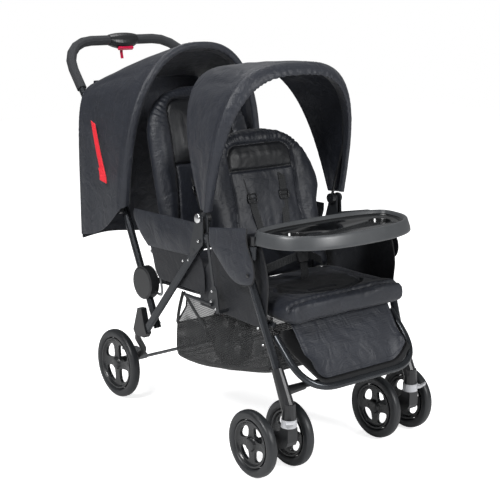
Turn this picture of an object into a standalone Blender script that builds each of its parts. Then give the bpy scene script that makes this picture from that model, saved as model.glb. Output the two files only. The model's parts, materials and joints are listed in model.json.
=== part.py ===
# Tandem stroller: two seats one behind the other on one folding frame.
# Metres, +Z up, front of the stroller towards -Y, its own right-hand side towards -X.
# Every size is a real size. Side views are written as (y, z) points of the design frame,
# whose y = 0 lies midway between the front and rear axles and whose z = 0 is the floor.

import math

import bmesh
import bpy
import numpy as np
from mathutils import Matrix, Vector

# Running clearances
GAP = 0.0004            # between pieces that touch
PIN_GAP = 0.0006        # round a pin in its bore
SLIP = 0.0012           # between pieces that slide past each other

# Frame in side view
MID_Y = 0.0833          # y of the middle of the whole stroller
KNEE = (-0.100, 0.575)          # pivot of the front frame on the rear legs
HOOD_PIVOT = (-0.100, 0.637)    # pivot of the front hood, above the knee
FOLD_PIVOT = (0.157, 0.281)     # pivot of the push frame, low on the rear legs
LEG_FOOT = (0.178, 0.257)       # lower end of the flat rear leg
DISC = (0.209, 0.394)           # round joint cover on the push tube
REAR_HOOD_PIVOT = (0.313, 0.600)
HANDLE_START = (0.537, 0.935)   # where the foam grip begins
HANDLE_TOP = (0.650, 1.070)

# Frame across the stroller, half widths to the centres of the pieces
KNEE_HALF = 0.2435      # flat legs and armrest tubes
PUSH_HALF = 0.2205      # push tubes, inside the legs
BASE_HALF = 0.196       # rear seat base, inside the push tubes
FRONT_BASE_HALF = 0.206
HUB_HALF = 0.222        # caster hubs

# Tubes and bars
LEG_R = 0.011
PUSH_R = 0.011
BASE_R = 0.009
FRONT_BASE_R = 0.008
FOOTREST_R = 0.009
CROSSBAR_R = 0.007
BOW_R = 0.004
FLAT_LEG = (0.012, 0.025)       # thickness and width of the flat rear leg
CHEEK = 0.003                   # wall of the knee bracket
PIN_R = 0.004
FOAM_R = 0.0155

# Wheels
FRONT_R = 0.090
REAR_R = 0.1055
TYRE_W = 0.029
TYRE_DEPTH = 0.026
AXLE_R = 0.004
FRONT_AXLE = (-0.370, FRONT_R)
REAR_AXLE = (0.370, REAR_R)
REAR_WHEEL_HALF = 0.220
TWIN_HALF = 0.0624      # from the caster's middle to each twin wheel's middle
CASTER_Y = -0.440
CASTER_TOP = 0.1415
BRAKE_PIVOT = (0.338, 0.121)

# Seats, hoods and tray
FRONT_SEAT_FRONT = -0.437
FRONT_SEAT_BACK = -0.123
FRONT_SEAT_HALF = 0.214
FRONT_SEAT_Z = (0.4002, 0.450)
FRONT_BACK_PIVOT = (-0.1185, 0.4385)
FRONT_BACK_LENGTH = 0.435
FRONT_BACK_LEAN = 16.0
REAR_SEAT_Y = (-0.068, 0.165)
REAR_SEAT_HALF = 0.182
REAR_SEAT_Z = (0.4193, 0.476)
REAR_BACK_PIVOT = (0.158, 0.4715)
REAR_BACK_LENGTH = 0.455
REAR_BACK_LEAN = 14.5
REAR_BACK_HALF = 0.188
CLOTH = 0.004
TRAY_Z = (0.600, 0.636)
TRAY_OVER = 0.0075      # how far the tray reaches past the middle of the armrest tubes
TRAY_HALF = KNEE_HALF + TRAY_OVER
TRAY_FLARE = 0.010
TRAY_PIVOT_Y = -0.320
TRAY_MIDDLE_Y = -0.334
HANDLE_HUB_HALF = 0.050

LEFT, RIGHT = 1, -1
SIDE_NAME = {LEFT: "left", RIGHT: "right"}


# Scene and collections

for old in list(bpy.data.objects):
    bpy.data.objects.remove(old, do_unlink=True)

stroller = bpy.data.collections.new("tandem_stroller")
cutters = bpy.data.collections.new("cutters")
for group in (stroller, cutters):
    bpy.context.scene.collection.children.link(group)


# Materials: name, colour (linear), roughness, metallic

def make_material(name, colour, roughness, metallic=0.0):
    material = bpy.data.materials.new(name)
    material.use_nodes = True
    shader = material.node_tree.nodes["Principled BSDF"]
    shader.inputs["Base Color"].default_value = (*colour, 1.0)
    shader.inputs["Roughness"].default_value = roughness
    shader.inputs["Metallic"].default_value = metallic
    return material


TUBE = make_material("gunmetal_tube", (0.062, 0.064, 0.068), 0.35, 0.7)
PLATE = make_material("painted_plate", (0.040, 0.042, 0.044), 0.45, 0.3)
STEEL = make_material("bright_steel", (0.45, 0.45, 0.46), 0.3, 1.0)
PLASTIC = make_material("matt_plastic", (0.022, 0.023, 0.024), 0.5)
GREY = make_material("pale_grey_plastic", (0.55, 0.55, 0.56), 0.45)
TYRE = make_material("foam_tyre", (0.035, 0.037, 0.040), 0.6)
FOAM = make_material("foam_grip", (0.025, 0.026, 0.027), 0.8)
FABRIC = make_material("charcoal_fabric", (0.045, 0.048, 0.060), 0.85)
MESH = make_material("basket_mesh", (0.012, 0.012, 0.013), 0.9)
RED = make_material("red_ribbon", (0.70, 0.010, 0.030), 0.6)


# Bodies: an empty on each joint's axis, nested as the joints are

body_at = {}
body_empty = {}


def add_body(name, parent, at):
    """An empty for a rigid body, on the axis that the body turns or slides on."""
    empty = bpy.data.objects.new("body_" + name, None)
    empty.empty_display_size = 0.03
    stroller.objects.link(empty)
    at = Vector(at)
    if parent:
        empty.parent = body_empty[parent]
        empty.location = at - body_at[parent]
    else:
        empty.location = at - Vector((0, MID_Y, 0))
    body_at[name], body_empty[name] = at, empty


def attach(obj, body):
    """Parent an object that is modelled in the design frame to a body's empty."""
    obj.parent = body_empty[body]
    obj.matrix_parent_inverse = Matrix.Translation(-body_at[body])


add_body("rear_frame", None, (0, 0, 0))
add_body("brake", "rear_frame", (0, *BRAKE_PIVOT))
add_body("push_frame", "rear_frame", (0, *FOLD_PIVOT))
add_body("trigger", "push_frame", (0, *HANDLE_TOP))
add_body("rear_back", "push_frame", (0, *REAR_BACK_PIVOT))
add_body("rear_base", "push_frame", (0, *DISC))
add_body("rear_hood", "push_frame", (0, *REAR_HOOD_PIVOT))
add_body("front_frame", "rear_frame", (0, *KNEE))
add_body("front_back", "front_frame", (0, *FRONT_BACK_PIVOT))
add_body("front_hood", "rear_frame", (0, *HOOD_PIVOT))
add_body("tray", "front_frame", (KNEE_HALF, TRAY_PIVOT_Y, TRAY_Z[0]))
for side in (LEFT, RIGHT):
    word = SIDE_NAME[side]
    add_body("caster_" + word, "front_frame", (side * HUB_HALF, CASTER_Y, CASTER_TOP))
    add_body("lock_" + word, "front_frame", (side * HUB_HALF, CASTER_Y, CASTER_TOP))
    add_body("wheel_rear_" + word, "rear_frame", (side * REAR_WHEEL_HALF, *REAR_AXLE))
    for place, offset in (("outer", TWIN_HALF), ("inner", -TWIN_HALF)):
        x = side * (HUB_HALF + offset)
        add_body(f"wheel_front_{word}_{place}", "caster_" + word, (x, *FRONT_AXLE))


# Mesh helpers

def finish(bm, name, material, body, smooth=35.0, cutter=False):
    """Turn a bmesh in the design frame into a named part, or into a hidden cutter."""
    bmesh.ops.recalc_face_normals(bm, faces=bm.faces)
    if bm.calc_volume(signed=True) < 0:
        bmesh.ops.reverse_faces(bm, faces=bm.faces)
    mesh = bpy.data.meshes.new(name)
    bm.to_mesh(mesh)
    bm.free()
    if smooth:
        mesh.shade_smooth()
        mesh.set_sharp_from_angle(angle=math.radians(smooth))
    obj = bpy.data.objects.new(name, mesh)
    if cutter:
        cutters.objects.link(obj)
        obj.hide_render = True
        obj.display_type = "WIRE"
    else:
        stroller.objects.link(obj)
        mesh.materials.append(material)
    attach(obj, body)
    return obj


def combine(obj, other, operation):
    """Cut or join a part with another mesh object, exactly."""
    modifier = obj.modifiers.new(operation.lower(), "BOOLEAN")
    modifier.operation = operation
    modifier.solver = "EXACT"
    modifier.object = other


def add_rod(bm, start, end, radius, sides=12, end_radius=None):
    """A closed cylinder or cone between two points."""
    start, end = Vector(start), Vector(end)
    span = end - start
    turn = Vector((0, 0, 1)).rotation_difference(span).to_matrix().to_4x4()
    bmesh.ops.create_cone(
        bm, cap_ends=True, segments=sides, radius1=radius,
        radius2=radius if end_radius is None else end_radius, depth=span.length,
        matrix=Matrix.Translation((start + end) / 2) @ turn)


def rod(name, start, end, radius, material, body, sides=12, end_radius=None, cutter=False):
    bm = bmesh.new()
    add_rod(bm, start, end, radius, sides, end_radius)
    return finish(bm, name, material, body, cutter=cutter)


def add_plate(bm, outline, x_low, x_high):
    """A flat piece: an outline of (y, z) points, extruded across the stroller."""
    base = [bm.verts.new((x_low, y, z)) for y, z in outline]
    face = bm.faces.new(base)
    new = bmesh.ops.extrude_face_region(bm, geom=[face])["geom"]
    moved = [v for v in new if isinstance(v, bmesh.types.BMVert)]
    bmesh.ops.translate(bm, verts=moved, vec=(x_high - x_low, 0, 0))


def plate(name, outline, side, x_low, x_high, material, body, cutter=False):
    bm = bmesh.new()
    add_plate(bm, outline, side * x_low, side * x_high)
    return finish(bm, name, material, body, cutter=cutter)


def circle_points(centre, radius, count=16):
    turns = [2 * math.pi * i / count for i in range(count)]
    return [(centre[0] + radius * math.cos(t), centre[1] + radius * math.sin(t)) for t in turns]


def hull_outline(circles, count=16):
    """The convex outline round several circles, each (y, z, radius)."""
    points = sorted({p for y, z, r in circles for p in circle_points((y, z), r, count)})

    def half(ordered):
        chain = []
        for p in ordered:
            while len(chain) > 1 and ((chain[-1][0] - chain[-2][0]) * (p[1] - chain[-2][1])
                                      <= (chain[-1][1] - chain[-2][1]) * (p[0] - chain[-2][0])):
                chain.pop()
            chain.append(p)
        return chain[:-1]

    return half(points) + half(points[::-1])


def rounded(points, radii, steps=4):
    """A path whose inner corners are arcs of the given radii."""
    points = [Vector(p) for p in points]
    path = [points[0]]
    for before, corner, after, radius in zip(points, points[1:], points[2:], radii):
        u, v = (before - corner).normalized(), (after - corner).normalized()
        half = u.angle(v) / 2
        reach = radius / math.tan(half)
        middle = corner + (u + v).normalized() * (radius / math.sin(half))
        first = (corner + u * reach - middle).normalized()
        last = (corner + v * reach - middle).normalized()
        for i in range(steps + 1):
            path.append(middle + first.slerp(last, i / steps) * radius)
    path.append(points[-1])
    return path


def tube_curve(name, path, radius, sides=8):
    """A curve with a round bevel and filled caps along a path of points."""
    curve = bpy.data.curves.new(name, "CURVE")
    curve.dimensions = "3D"
    curve.bevel_depth = radius
    curve.bevel_resolution = (sides - 4) // 2
    curve.use_fill_caps = True
    spline = curve.splines.new("POLY")
    spline.points.add(len(path) - 1)
    for point, place in zip(spline.points, path):
        point.co = (*place, 1.0)
    return bpy.data.objects.new(name, curve)


def tube(name, path, radius, material, body, sides=8):
    """A plain bent tube that keeps its curve."""
    obj = tube_curve(name, path, radius, sides)
    obj.data.materials.append(material)
    stroller.objects.link(obj)
    attach(obj, body)
    return obj


def tube_mesh(name, path, radius, material, body, sides=8, cutter=False):
    """A bent tube as a closed mesh, for pieces that are cut or joined."""
    source = tube_curve(name + "_path", path, radius, sides)
    bpy.context.scene.collection.objects.link(source)
    graph = bpy.context.evaluated_depsgraph_get()
    mesh = bpy.data.meshes.new_from_object(source.evaluated_get(graph))
    bpy.data.objects.remove(source, do_unlink=True)
    bm = bmesh.new()
    bm.from_mesh(mesh)
    bpy.data.meshes.remove(mesh)
    bmesh.ops.remove_doubles(bm, verts=bm.verts, dist=0.00001)
    return finish(bm, name, material, body, cutter=cutter)


def cage(name, shape, cells, material, body, smooth=60.0):
    """A soft form: a cube cut into cells in u, v and w, each point then placed by shape(u, v, w)."""
    bm = bmesh.new()
    bmesh.ops.create_cube(bm, size=2.0)
    for axis, count in enumerate(cells):
        normal = Vector([1.0 if i == axis else 0.0 for i in range(3)])
        for i in range(1, count):
            everything = list(bm.verts) + list(bm.edges) + list(bm.faces)
            bmesh.ops.bisect_plane(bm, geom=everything, plane_co=normal * (2 * i / count - 1),
                                   plane_no=normal, dist=1e-6)
    for vert in bm.verts:
        vert.co = shape(*vert.co)
    return finish(bm, name, material, body, smooth)


def turned(name, profile, centre, side, material, body, steps=20):
    """A wheel part: a closed (radius, x) profile turned round an axis along X."""
    bm = bmesh.new()
    verts = [bm.verts.new((side * x, 0.0, r)) for r, x in profile]
    pairs = zip(profile, profile[1:] + profile[:1], verts, verts[1:] + verts[:1])
    edges = [bm.edges.new((a, b)) for (r1, _), (r2, _), a, b in pairs if r1 > 0 or r2 > 0]
    bmesh.ops.spin(bm, geom=verts + edges, cent=(0, 0, 0), axis=(1, 0, 0),
                   angle=2 * math.pi, steps=steps, use_merge=True)
    bmesh.ops.remove_doubles(bm, verts=bm.verts, dist=0.00002)
    bmesh.ops.dissolve_degenerate(bm, dist=0.00001, edges=bm.edges)
    bmesh.ops.translate(bm, verts=bm.verts, vec=centre)
    return finish(bm, name, material, body)


def smooth_step(low, high, value):
    t = min(max((value - low) / (high - low), 0.0), 1.0)
    return t * t * (3 - 2 * t)


# Wheels: a foam tyre on a rim with four openings

def wheel(name, centre, radius, side, body):
    half = TYRE_W / 2
    inner = radius - TYRE_DEPTH
    crown = [(radius, half * 0.28), (radius - 0.0045, half * 0.82), (radius - 0.012, half),
             (inner, half * 0.74)]
    profile = crown + [(r, -x) for r, x in crown[::-1]]
    turned(name + "_tyre", profile, centre, side, TYRE, body)

    rim_r = inner - GAP
    rim_half, web_half, hub_half, hub_r = 0.010, 0.0045, 0.0135, 0.019
    bore = AXLE_R + PIN_GAP
    ring = rim_r - 0.009
    rim = turned(name + "_rim", [
        (bore, -hub_half), (hub_r, -hub_half), (hub_r + 0.003, -web_half),
        (ring, -web_half), (rim_r, -rim_half), (rim_r, rim_half), (ring, web_half),
        (hub_r + 0.003, web_half), (hub_r - 0.002, hub_half),
        (0.0, hub_half), (0.0, hub_half - 0.006), (bore, hub_half - 0.006)],
        centre, side, PLASTIC, body)
    bm = bmesh.new()
    low, high = hub_r + 0.0045, ring - 0.0025
    for k in range(4):
        middle = math.radians(45 + 90 * k)
        points = [(high, t) for t in (-26, 26)]
        points += [(high - 0.006, 33), (low + 0.007, 26), (low, 13), (low, -13)]
        points += [(low + 0.007, -26), (high - 0.006, -33)]
        flat = [(centre[1] + r * math.cos(middle + math.radians(t)),
                 centre[2] + r * math.sin(middle + math.radians(t))) for r, t in points]
        add_plate(bm, flat, centre[0] - 0.02, centre[0] + 0.02)
    openings = finish(bm, name + "_openings", None, body, cutter=True)
    combine(rim, openings, "DIFFERENCE")


def wheels():
    for side in (LEFT, RIGHT):
        word = SIDE_NAME[side]
        x = side * REAR_WHEEL_HALF
        wheel("rear_" + word, (x, *REAR_AXLE), REAR_R, side, "wheel_rear_" + word)
        for place, offset, facing in (("outer", TWIN_HALF, 1), ("inner", -TWIN_HALF, -1)):
            x = side * (HUB_HALF + offset)
            wheel(f"front_{word}_{place}", (x, *FRONT_AXLE), FRONT_R, side * facing,
                  f"wheel_front_{word}_{place}")


wheels()


# Rear frame: flat legs, knee brackets, feet, axle

LEG_DIR = (Vector(LEG_FOOT) - Vector(KNEE)).normalized()
FLAT_IN = KNEE_HALF - FLAT_LEG[0] / 2
FLAT_OUT = KNEE_HALF + FLAT_LEG[0] / 2
CHEEK_IN = (FLAT_IN - GAP - CHEEK, FLAT_IN - GAP)
CHEEK_OUT = (FLAT_OUT + GAP, FLAT_OUT + GAP + CHEEK)
EYE_R = 0.013
LEG_TOP = Vector(KNEE) + LEG_DIR * 0.021
RIVET = Vector(KNEE) + LEG_DIR * 0.040


def side_point(x, point):
    return (x, point[0], point[1])


def flat_bar(bm, start, end, x_middle, thickness, width):
    """A flat bar in a side plane with round edges, between two (y, z) points."""
    along = (Vector(end) - Vector(start)).normalized()
    across = Vector((-along[1], along[0]))
    edge = thickness * 0.3
    section = [(-width / 2 + edge, -thickness / 2), (width / 2 - edge, -thickness / 2),
               (width / 2, -thickness / 2 + edge), (width / 2, thickness / 2 - edge),
               (width / 2 - edge, thickness / 2), (-width / 2 + edge, thickness / 2),
               (-width / 2, thickness / 2 - edge), (-width / 2, -thickness / 2 + edge)]
    verts = []
    for w, t in section:
        y, z = Vector(start) + across * w
        verts.append(bm.verts.new((x_middle + t, y, z)))
    face = bm.faces.new(verts)
    new = bmesh.ops.extrude_face_region(bm, geom=[face])["geom"]
    moved = [v for v in new if isinstance(v, bmesh.types.BMVert)]
    span = Vector(end) - Vector(start)
    bmesh.ops.translate(bm, verts=moved, vec=(0, span[0], span[1]))


def rear_leg(side):
    word = SIDE_NAME[side]
    bm = bmesh.new()
    flat_bar(bm, LEG_TOP, LEG_FOOT, side * KNEE_HALF, *FLAT_LEG)
    leg = finish(bm, "rear_leg_" + word, TUBE, "rear_frame")
    hole = rod("rear_leg_rivet_hole_" + word, side_point(side * 0.20, RIVET),
               side_point(side * 0.28, RIVET), PIN_R * 0.8 + PIN_GAP, None, "rear_frame", 12, cutter=True)
    combine(leg, hole, "DIFFERENCE")
    # The fold pivot pin stands on the leg's inner face and ends in a head behind the push tube.
    bm = bmesh.new()
    profile = [(FLAT_IN + 0.004, PIN_R), (PUSH_HALF - PUSH_R - 0.0015, PIN_R)]
    add_rod(bm, side_point(side * profile[0][0], FOLD_PIVOT),
            side_point(side * profile[1][0], FOLD_PIVOT), PIN_R, 16)
    pin = finish(bm, "fold_pin_" + word, None, "rear_frame", cutter=True)
    combine(leg, pin, "UNION")
    return leg


def knee_bracket(side):
    """Two cheeks that hold the armrest tube's eye and the rear leg, with their pins."""
    word = SIDE_NAME[side]
    low = Vector(KNEE) + LEG_DIR * 0.050
    outline = hull_outline([(*HOOD_PIVOT, 0.015), (*KNEE, 0.018), (*low, 0.0125)], 12)
    bracket = plate("knee_bracket_" + word, outline, side, *CHEEK_OUT, PLATE, "rear_frame")
    inner = plate("inner_cheek_" + word, outline, side, *CHEEK_IN, None, "rear_frame", cutter=True)
    combine(bracket, inner, "UNION")
    # Knee pin, leg rivet and hood pin with its round cap
    pins = ((KNEE, PIN_R, CHEEK_IN[0] + 0.001, CHEEK_OUT[1] + 0.0015, 0.0075),
            (RIVET, PIN_R * 0.8, CHEEK_IN[0] + 0.001, CHEEK_OUT[1] + 0.0012, 0.0055),
            (HOOD_PIVOT, PIN_R, HOOD_HUB[0] - 0.001, CHEEK_OUT[1] + 0.0030, 0.0125))
    for number, (place, radius, x_in, x_out, head) in enumerate(pins):
        bm = bmesh.new()
        add_rod(bm, side_point(side * x_in, place), side_point(side * (x_out - 0.0005), place), radius, 10)
        pin = finish(bm, f"knee_pin_{number}_{word}", None, "rear_frame", cutter=True)
        combine(bracket, pin, "UNION")
        bm = bmesh.new()
        add_rod(bm, side_point(side * (CHEEK_OUT[1] - 0.001), place), side_point(side * x_out, place),
                head, 12, head * 0.8)
        cap = finish(bm, f"knee_cap_{number}_{word}", None, "rear_frame", cutter=True)
        combine(bracket, cap, "UNION")


# The hood's hub turns between the knee bracket's inner cheek and the seat.
HOOD_HUB = (CHEEK_IN[0] - SLIP - 0.012, CHEEK_IN[0] - SLIP)


def rear_foot(side):
    """The moulded foot: a wedge that takes the leg's end, and a curved arm to the axle."""
    word = SIDE_NAME[side]
    inner, outer = FLAT_IN - 0.0035, FLAT_OUT + 0.0035
    wedge = [(0.208, 0.322), (0.188, 0.324), (0.181, 0.300), (0.1735, 0.272), (0.164, 0.252),
             (0.176, 0.238), (0.222, 0.238), (0.232, 0.252)]
    foot = plate("rear_foot_" + word, wedge, side, inner, outer, PLASTIC, "rear_frame")
    boss = (0.177, 0.2035)
    arm = rounded([(side * KNEE_HALF, 0.206, 0.262), (side * 0.2385, 0.233, 0.224),
                   (side * 0.1900, 0.270, 0.166), (side * 0.1870, 0.345, 0.110)],
                  (0.04, 0.04), 4)
    arm_piece = tube_mesh("rear_foot_arm_" + word, arm, 0.0090, None, "rear_frame", 10, cutter=True)
    combine(foot, arm_piece, "UNION")
    bm = bmesh.new()
    add_plate(bm, hull_outline([(*REAR_AXLE, 0.017), (*BRAKE_PIVOT, 0.010)], 16), side * boss[0], side * boss[1])
    housing = finish(bm, "rear_foot_boss_" + word, None, "rear_frame", cutter=True)
    combine(foot, housing, "UNION")
    bm = bmesh.new()
    add_rod(bm, (side * 0.150, *REAR_AXLE), (side * 0.230, *REAR_AXLE), AXLE_R + PIN_GAP, 16)
    bore = finish(bm, "rear_foot_bore_" + word, None, "rear_frame", cutter=True)
    combine(foot, bore, "DIFFERENCE")
    bm = bmesh.new()
    add_rod(bm, (side * 0.150, *BRAKE_PIVOT), (side * 0.190, *BRAKE_PIVOT), 0.003 + PIN_GAP, 12)
    socket = finish(bm, "brake_socket_" + word, None, "rear_frame", cutter=True)
    combine(foot, socket, "DIFFERENCE")
    bm = bmesh.new()
    flat_bar(bm, LEG_TOP, Vector(LEG_FOOT) + LEG_DIR * GAP, side * KNEE_HALF,
             FLAT_LEG[0] + 2 * GAP, FLAT_LEG[1] + 2 * GAP)
    slot = finish(bm, "rear_foot_slot_" + word, None, "rear_frame", cutter=True)
    combine(foot, slot, "DIFFERENCE")


def rear_frame():
    for side in (LEFT, RIGHT):
        rear_leg(side)
        knee_bracket(side)
        rear_foot(side)
    end = REAR_WHEEL_HALF + 0.0065
    rod("rear_axle", (-end, *REAR_AXLE), (end, *REAR_AXLE), AXLE_R, STEEL, "rear_frame", 16)


rear_frame()


# Brake: one rod across the feet with a pedal at each end

def brake_bar():
    end = 0.1885
    bar = rod("brake_bar", (-end, *BRAKE_PIVOT), (end, *BRAKE_PIVOT), 0.003, STEEL, "brake", 12)
    y, z = BRAKE_PIVOT
    lever = [(y - 0.009, z - 0.006), (y + 0.004, z - 0.008), (y + 0.016, z + 0.006),
             (y + 0.050, z + 0.010), (y + 0.085, z + 0.004), (y + 0.088, z + 0.010),
             (y + 0.052, z + 0.019), (y + 0.010, z + 0.016), (y - 0.009, z + 0.008)]
    for side in (LEFT, RIGHT):
        word = SIDE_NAME[side]
        pedal = plate("brake_pedal_" + word, lever, side, 0.140, 0.172, None, "brake", cutter=True)
        combine(bar, pedal, "UNION")


brake_bar()


# Push frame: tubes, joint covers, handle with grips and fold hub

PUSH_SLOPE = (Vector(REAR_HOOD_PIVOT) - Vector(FOLD_PIVOT)).normalized()


def handle_path(side=None):
    """The U of the handle. With a side, only that half, from the middle outwards."""
    start, top = Vector(HANDLE_START), Vector(HANDLE_TOP)
    low = start - (top - start).normalized() * 0.02
    corner = (side or RIGHT) * PUSH_HALF
    half = [(0, *top), (corner, *top), (corner, *low)]
    if side:
        return rounded(half, (0.105,), 5)
    return rounded([(RIGHT * PUSH_HALF, *low), (RIGHT * PUSH_HALF, *top),
                    (LEFT * PUSH_HALF, *top), (LEFT * PUSH_HALF, *low)], (0.105, 0.105), 5)


def push_tube(side):
    word = SIDE_NAME[side]
    x = side * PUSH_HALF
    low = Vector(FOLD_PIVOT) - PUSH_SLOPE * 0.014
    start, top = Vector(HANDLE_START), Vector(HANDLE_TOP)
    end = start - (top - start).normalized() * 0.0217
    path = rounded([side_point(x, low), side_point(x, REAR_HOOD_PIVOT), side_point(x, end)], (0.5,), 4)
    piece = tube_mesh("push_tube_" + word, path, PUSH_R, TUBE, "push_frame", 10)
    for number, place in enumerate((FOLD_PIVOT, DISC)):
        hole = rod(f"push_hole_{number}_{word}", side_point(side * 0.20, place), side_point(side * 0.26, place),
                   PIN_R + PIN_GAP, None, "push_frame", 12, cutter=True)
        combine(piece, hole, "DIFFERENCE")
    pin = rod("rear_hood_pin_" + word, side_point(x, REAR_HOOD_PIVOT),
              side_point(side * (REAR_HUB[1] + 0.001), REAR_HOOD_PIVOT), PIN_R, None, "push_frame", 12, cutter=True)
    combine(piece, pin, "UNION")
    return path


REAR_HUB = (PUSH_HALF + PUSH_R + SLIP, PUSH_HALF + PUSH_R + SLIP + 0.011)


def fold_disc(side, path):
    word = SIDE_NAME[side]
    outer = CHEEK_IN[1] - 0.0015
    bm = bmesh.new()
    add_rod(bm, side_point(side * (BASE_HALF + BASE_R + SLIP), DISC), side_point(side * (outer - 0.003), DISC),
            0.049, 22)
    disc = finish(bm, "fold_disc_" + word, PLASTIC, "push_frame")
    rim = rod("fold_disc_edge_" + word, side_point(side * (outer - 0.004), DISC), side_point(side * outer, DISC),
              0.0485, None, "push_frame", 22, 0.043, cutter=True)
    combine(disc, rim, "UNION")
    channel = tube_mesh("disc_channel_" + word, path, PUSH_R + GAP, None, "push_frame", 10, cutter=True)
    combine(disc, channel, "DIFFERENCE")
    bore = rod("disc_bore_" + word, side_point(side * 0.18, DISC), side_point(side * 0.232, DISC),
               PIN_R + PIN_GAP, None, "push_frame", 12, cutter=True)
    combine(disc, bore, "DIFFERENCE")


def handle():
    tube("handle_tube", handle_path(), PUSH_R, TUBE, "push_frame", 10)
    for side in (LEFT, RIGHT):
        word = SIDE_NAME[side]
        half = handle_path(side)
        start = Vector((side * (HANDLE_HUB_HALF + GAP), *HANDLE_TOP))
        lower = Vector(HANDLE_START)
        path = [start] + half[1:-1] + [Vector((side * PUSH_HALF, *lower))]
        grip = tube_mesh("grip_" + word, path, FOAM_R, FOAM, "push_frame", 12)
        core = tube_mesh("grip_core_" + word, half, PUSH_R + 0.0011, None, "push_frame", 10, cutter=True)
        combine(grip, core, "DIFFERENCE")


def fold_hub():
    """The moulding in the middle of the handle, arched over the tube, with a slot for the trigger."""
    y, z = HANDLE_TOP
    lean = math.radians(38)
    up = Vector((0, math.sin(lean), math.cos(lean)))
    back = Vector((0, math.cos(lean), -math.sin(lean)))

    def shape(u, v, w):
        middle = 1 - abs(u) ** 2.2
        r = 0.0172 + 0.0055 * middle
        angle = math.atan2(w, v)
        squash = max(abs(v), abs(w))
        radial = r * squash
        drop = 0.010 * middle * max(0.0, -math.sin(angle)) * squash
        return (Vector((u * HANDLE_HUB_HALF, y, z)) + back * (radial * math.cos(angle))
                + up * (radial * math.sin(angle) - drop))

    hub = cage("fold_hub", shape, (8, 4, 4), PLASTIC, "push_frame", 40)
    core = rod("hub_core", (-0.07, y, z), (0.07, y, z), PUSH_R + 0.0011, None, "push_frame", 12, cutter=True)
    combine(hub, core, "DIFFERENCE")
    place = Vector((0, y, z))
    bm = bmesh.new()
    bmesh.ops.create_cube(bm, size=1.0)
    turn = Matrix((Vector((1, 0, 0)), back, up)).transposed().to_4x4()
    slot_at = place - up * 0.0303
    bmesh.ops.transform(bm, verts=bm.verts,
                        matrix=Matrix.Translation(slot_at) @ turn @ Matrix.Diagonal((0.0573, 0.0132, 0.026, 1)))
    slot = finish(bm, "trigger_slot", None, "push_frame", cutter=True)
    combine(hub, slot, "DIFFERENCE")
    bm = bmesh.new()
    bmesh.ops.create_cube(bm, size=1.0)
    bmesh.ops.transform(bm, verts=bm.verts, matrix=Matrix.Diagonal((0.0548, 0.0118, 0.0090, 1)))
    bmesh.ops.bevel(bm, geom=list(bm.edges), offset=0.0015, segments=2, affect="EDGES")
    bmesh.ops.transform(bm, verts=bm.verts,
                        matrix=Matrix.Translation(place - up * 0.0325) @ turn)
    finish(bm, "fold_trigger", RED, "trigger")
    strap = [Vector((0.0, 0, 0)), Vector((0.002, 0.003, -0.014)), Vector((0.006, 0.005, -0.034))]
    base = place - up * 0.0170 + back * 0.0170

    def ribbon(u, v, w):
        t = (v + 1) / 2 * 2
        i = min(int(t), 1)
        point = strap[i].lerp(strap[i + 1], t - i)
        return base + back * 0.0035 + point + Vector((u * 0.005, w * 0.0008, 0))

    cage("release_strap", ribbon, (1, 4, 1), RED, "push_frame")


def push_frame():
    for side in (LEFT, RIGHT):
        path = push_tube(side)
        fold_disc(side, path)
    handle()
    fold_hub()


push_frame()


# Front frame: bent legs with their knee eyes, hubs, crossbar, footrest, seat base, lower plates

LEG_PATH = [(KNEE_HALF, -0.1245, 0.589), (KNEE_HALF, -0.268, 0.618), (KNEE_HALF, -0.305, 0.520),
            (HUB_HALF, -0.4035, 0.262)]
LEG_TOP_3D, LEG_END_3D = Vector(LEG_PATH[2]), Vector(LEG_PATH[3])
LOWER_DIR = (LEG_END_3D - LEG_TOP_3D).normalized()


def mirrored(side, point):
    return Vector((side * point[0], point[1], point[2]))


def leg_point(z):
    """The middle of the front leg's straight lower part at a height."""
    return LEG_TOP_3D + LOWER_DIR * ((z - LEG_TOP_3D.z) / LOWER_DIR.z)


def front_leg(side):
    word = SIDE_NAME[side]
    path = rounded([mirrored(side, p) for p in LEG_PATH], (0.045, 0.10), 5)
    leg = tube_mesh("front_leg_" + word, path, LEG_R, TUBE, "front_frame", 10)
    bm = bmesh.new()
    add_plate(bm, hull_outline([(*KNEE, EYE_R), (-0.130, 0.590, 0.0095)], 16), side * FLAT_IN, side * FLAT_OUT)
    eye = finish(bm, "armrest_eye_" + word, None, "front_frame", cutter=True)
    combine(leg, eye, "UNION")
    hole = rod("knee_hole_" + word, side_point(side * 0.20, KNEE), side_point(side * 0.28, KNEE),
               PIN_R + PIN_GAP, None, "front_frame", 12, cutter=True)
    combine(leg, hole, "DIFFERENCE")
    # A moulded socket on the leg carries the tray.
    at = Vector((side * KNEE_HALF, TRAY_PIVOT_Y, TRAY_Z[0]))
    bm = bmesh.new()
    add_rod(bm, at - Vector((0, 0, 0.036)), at - Vector((0, 0, 0.0025)), 0.0105, 14)
    socket = finish(bm, "tray_socket_" + word, None, "front_frame", cutter=True)
    combine(leg, socket, "UNION")
    neck = rod("tray_neck_" + word, at - Vector((0, 0, 0.019)), at - Vector((0, -0.034, 0.024)), 0.0080, None,
               "front_frame", 12, cutter=True)
    combine(leg, neck, "UNION")
    if side == LEFT:
        bm = bmesh.new()
        add_rod(bm, at - Vector((0, 0, 0.022)), at + Vector((0, 0, 0.01)), PIN_R + PIN_GAP, 14)
        bore = finish(bm, "tray_bore", None, "front_frame", cutter=True)
        combine(leg, bore, "DIFFERENCE")


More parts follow.
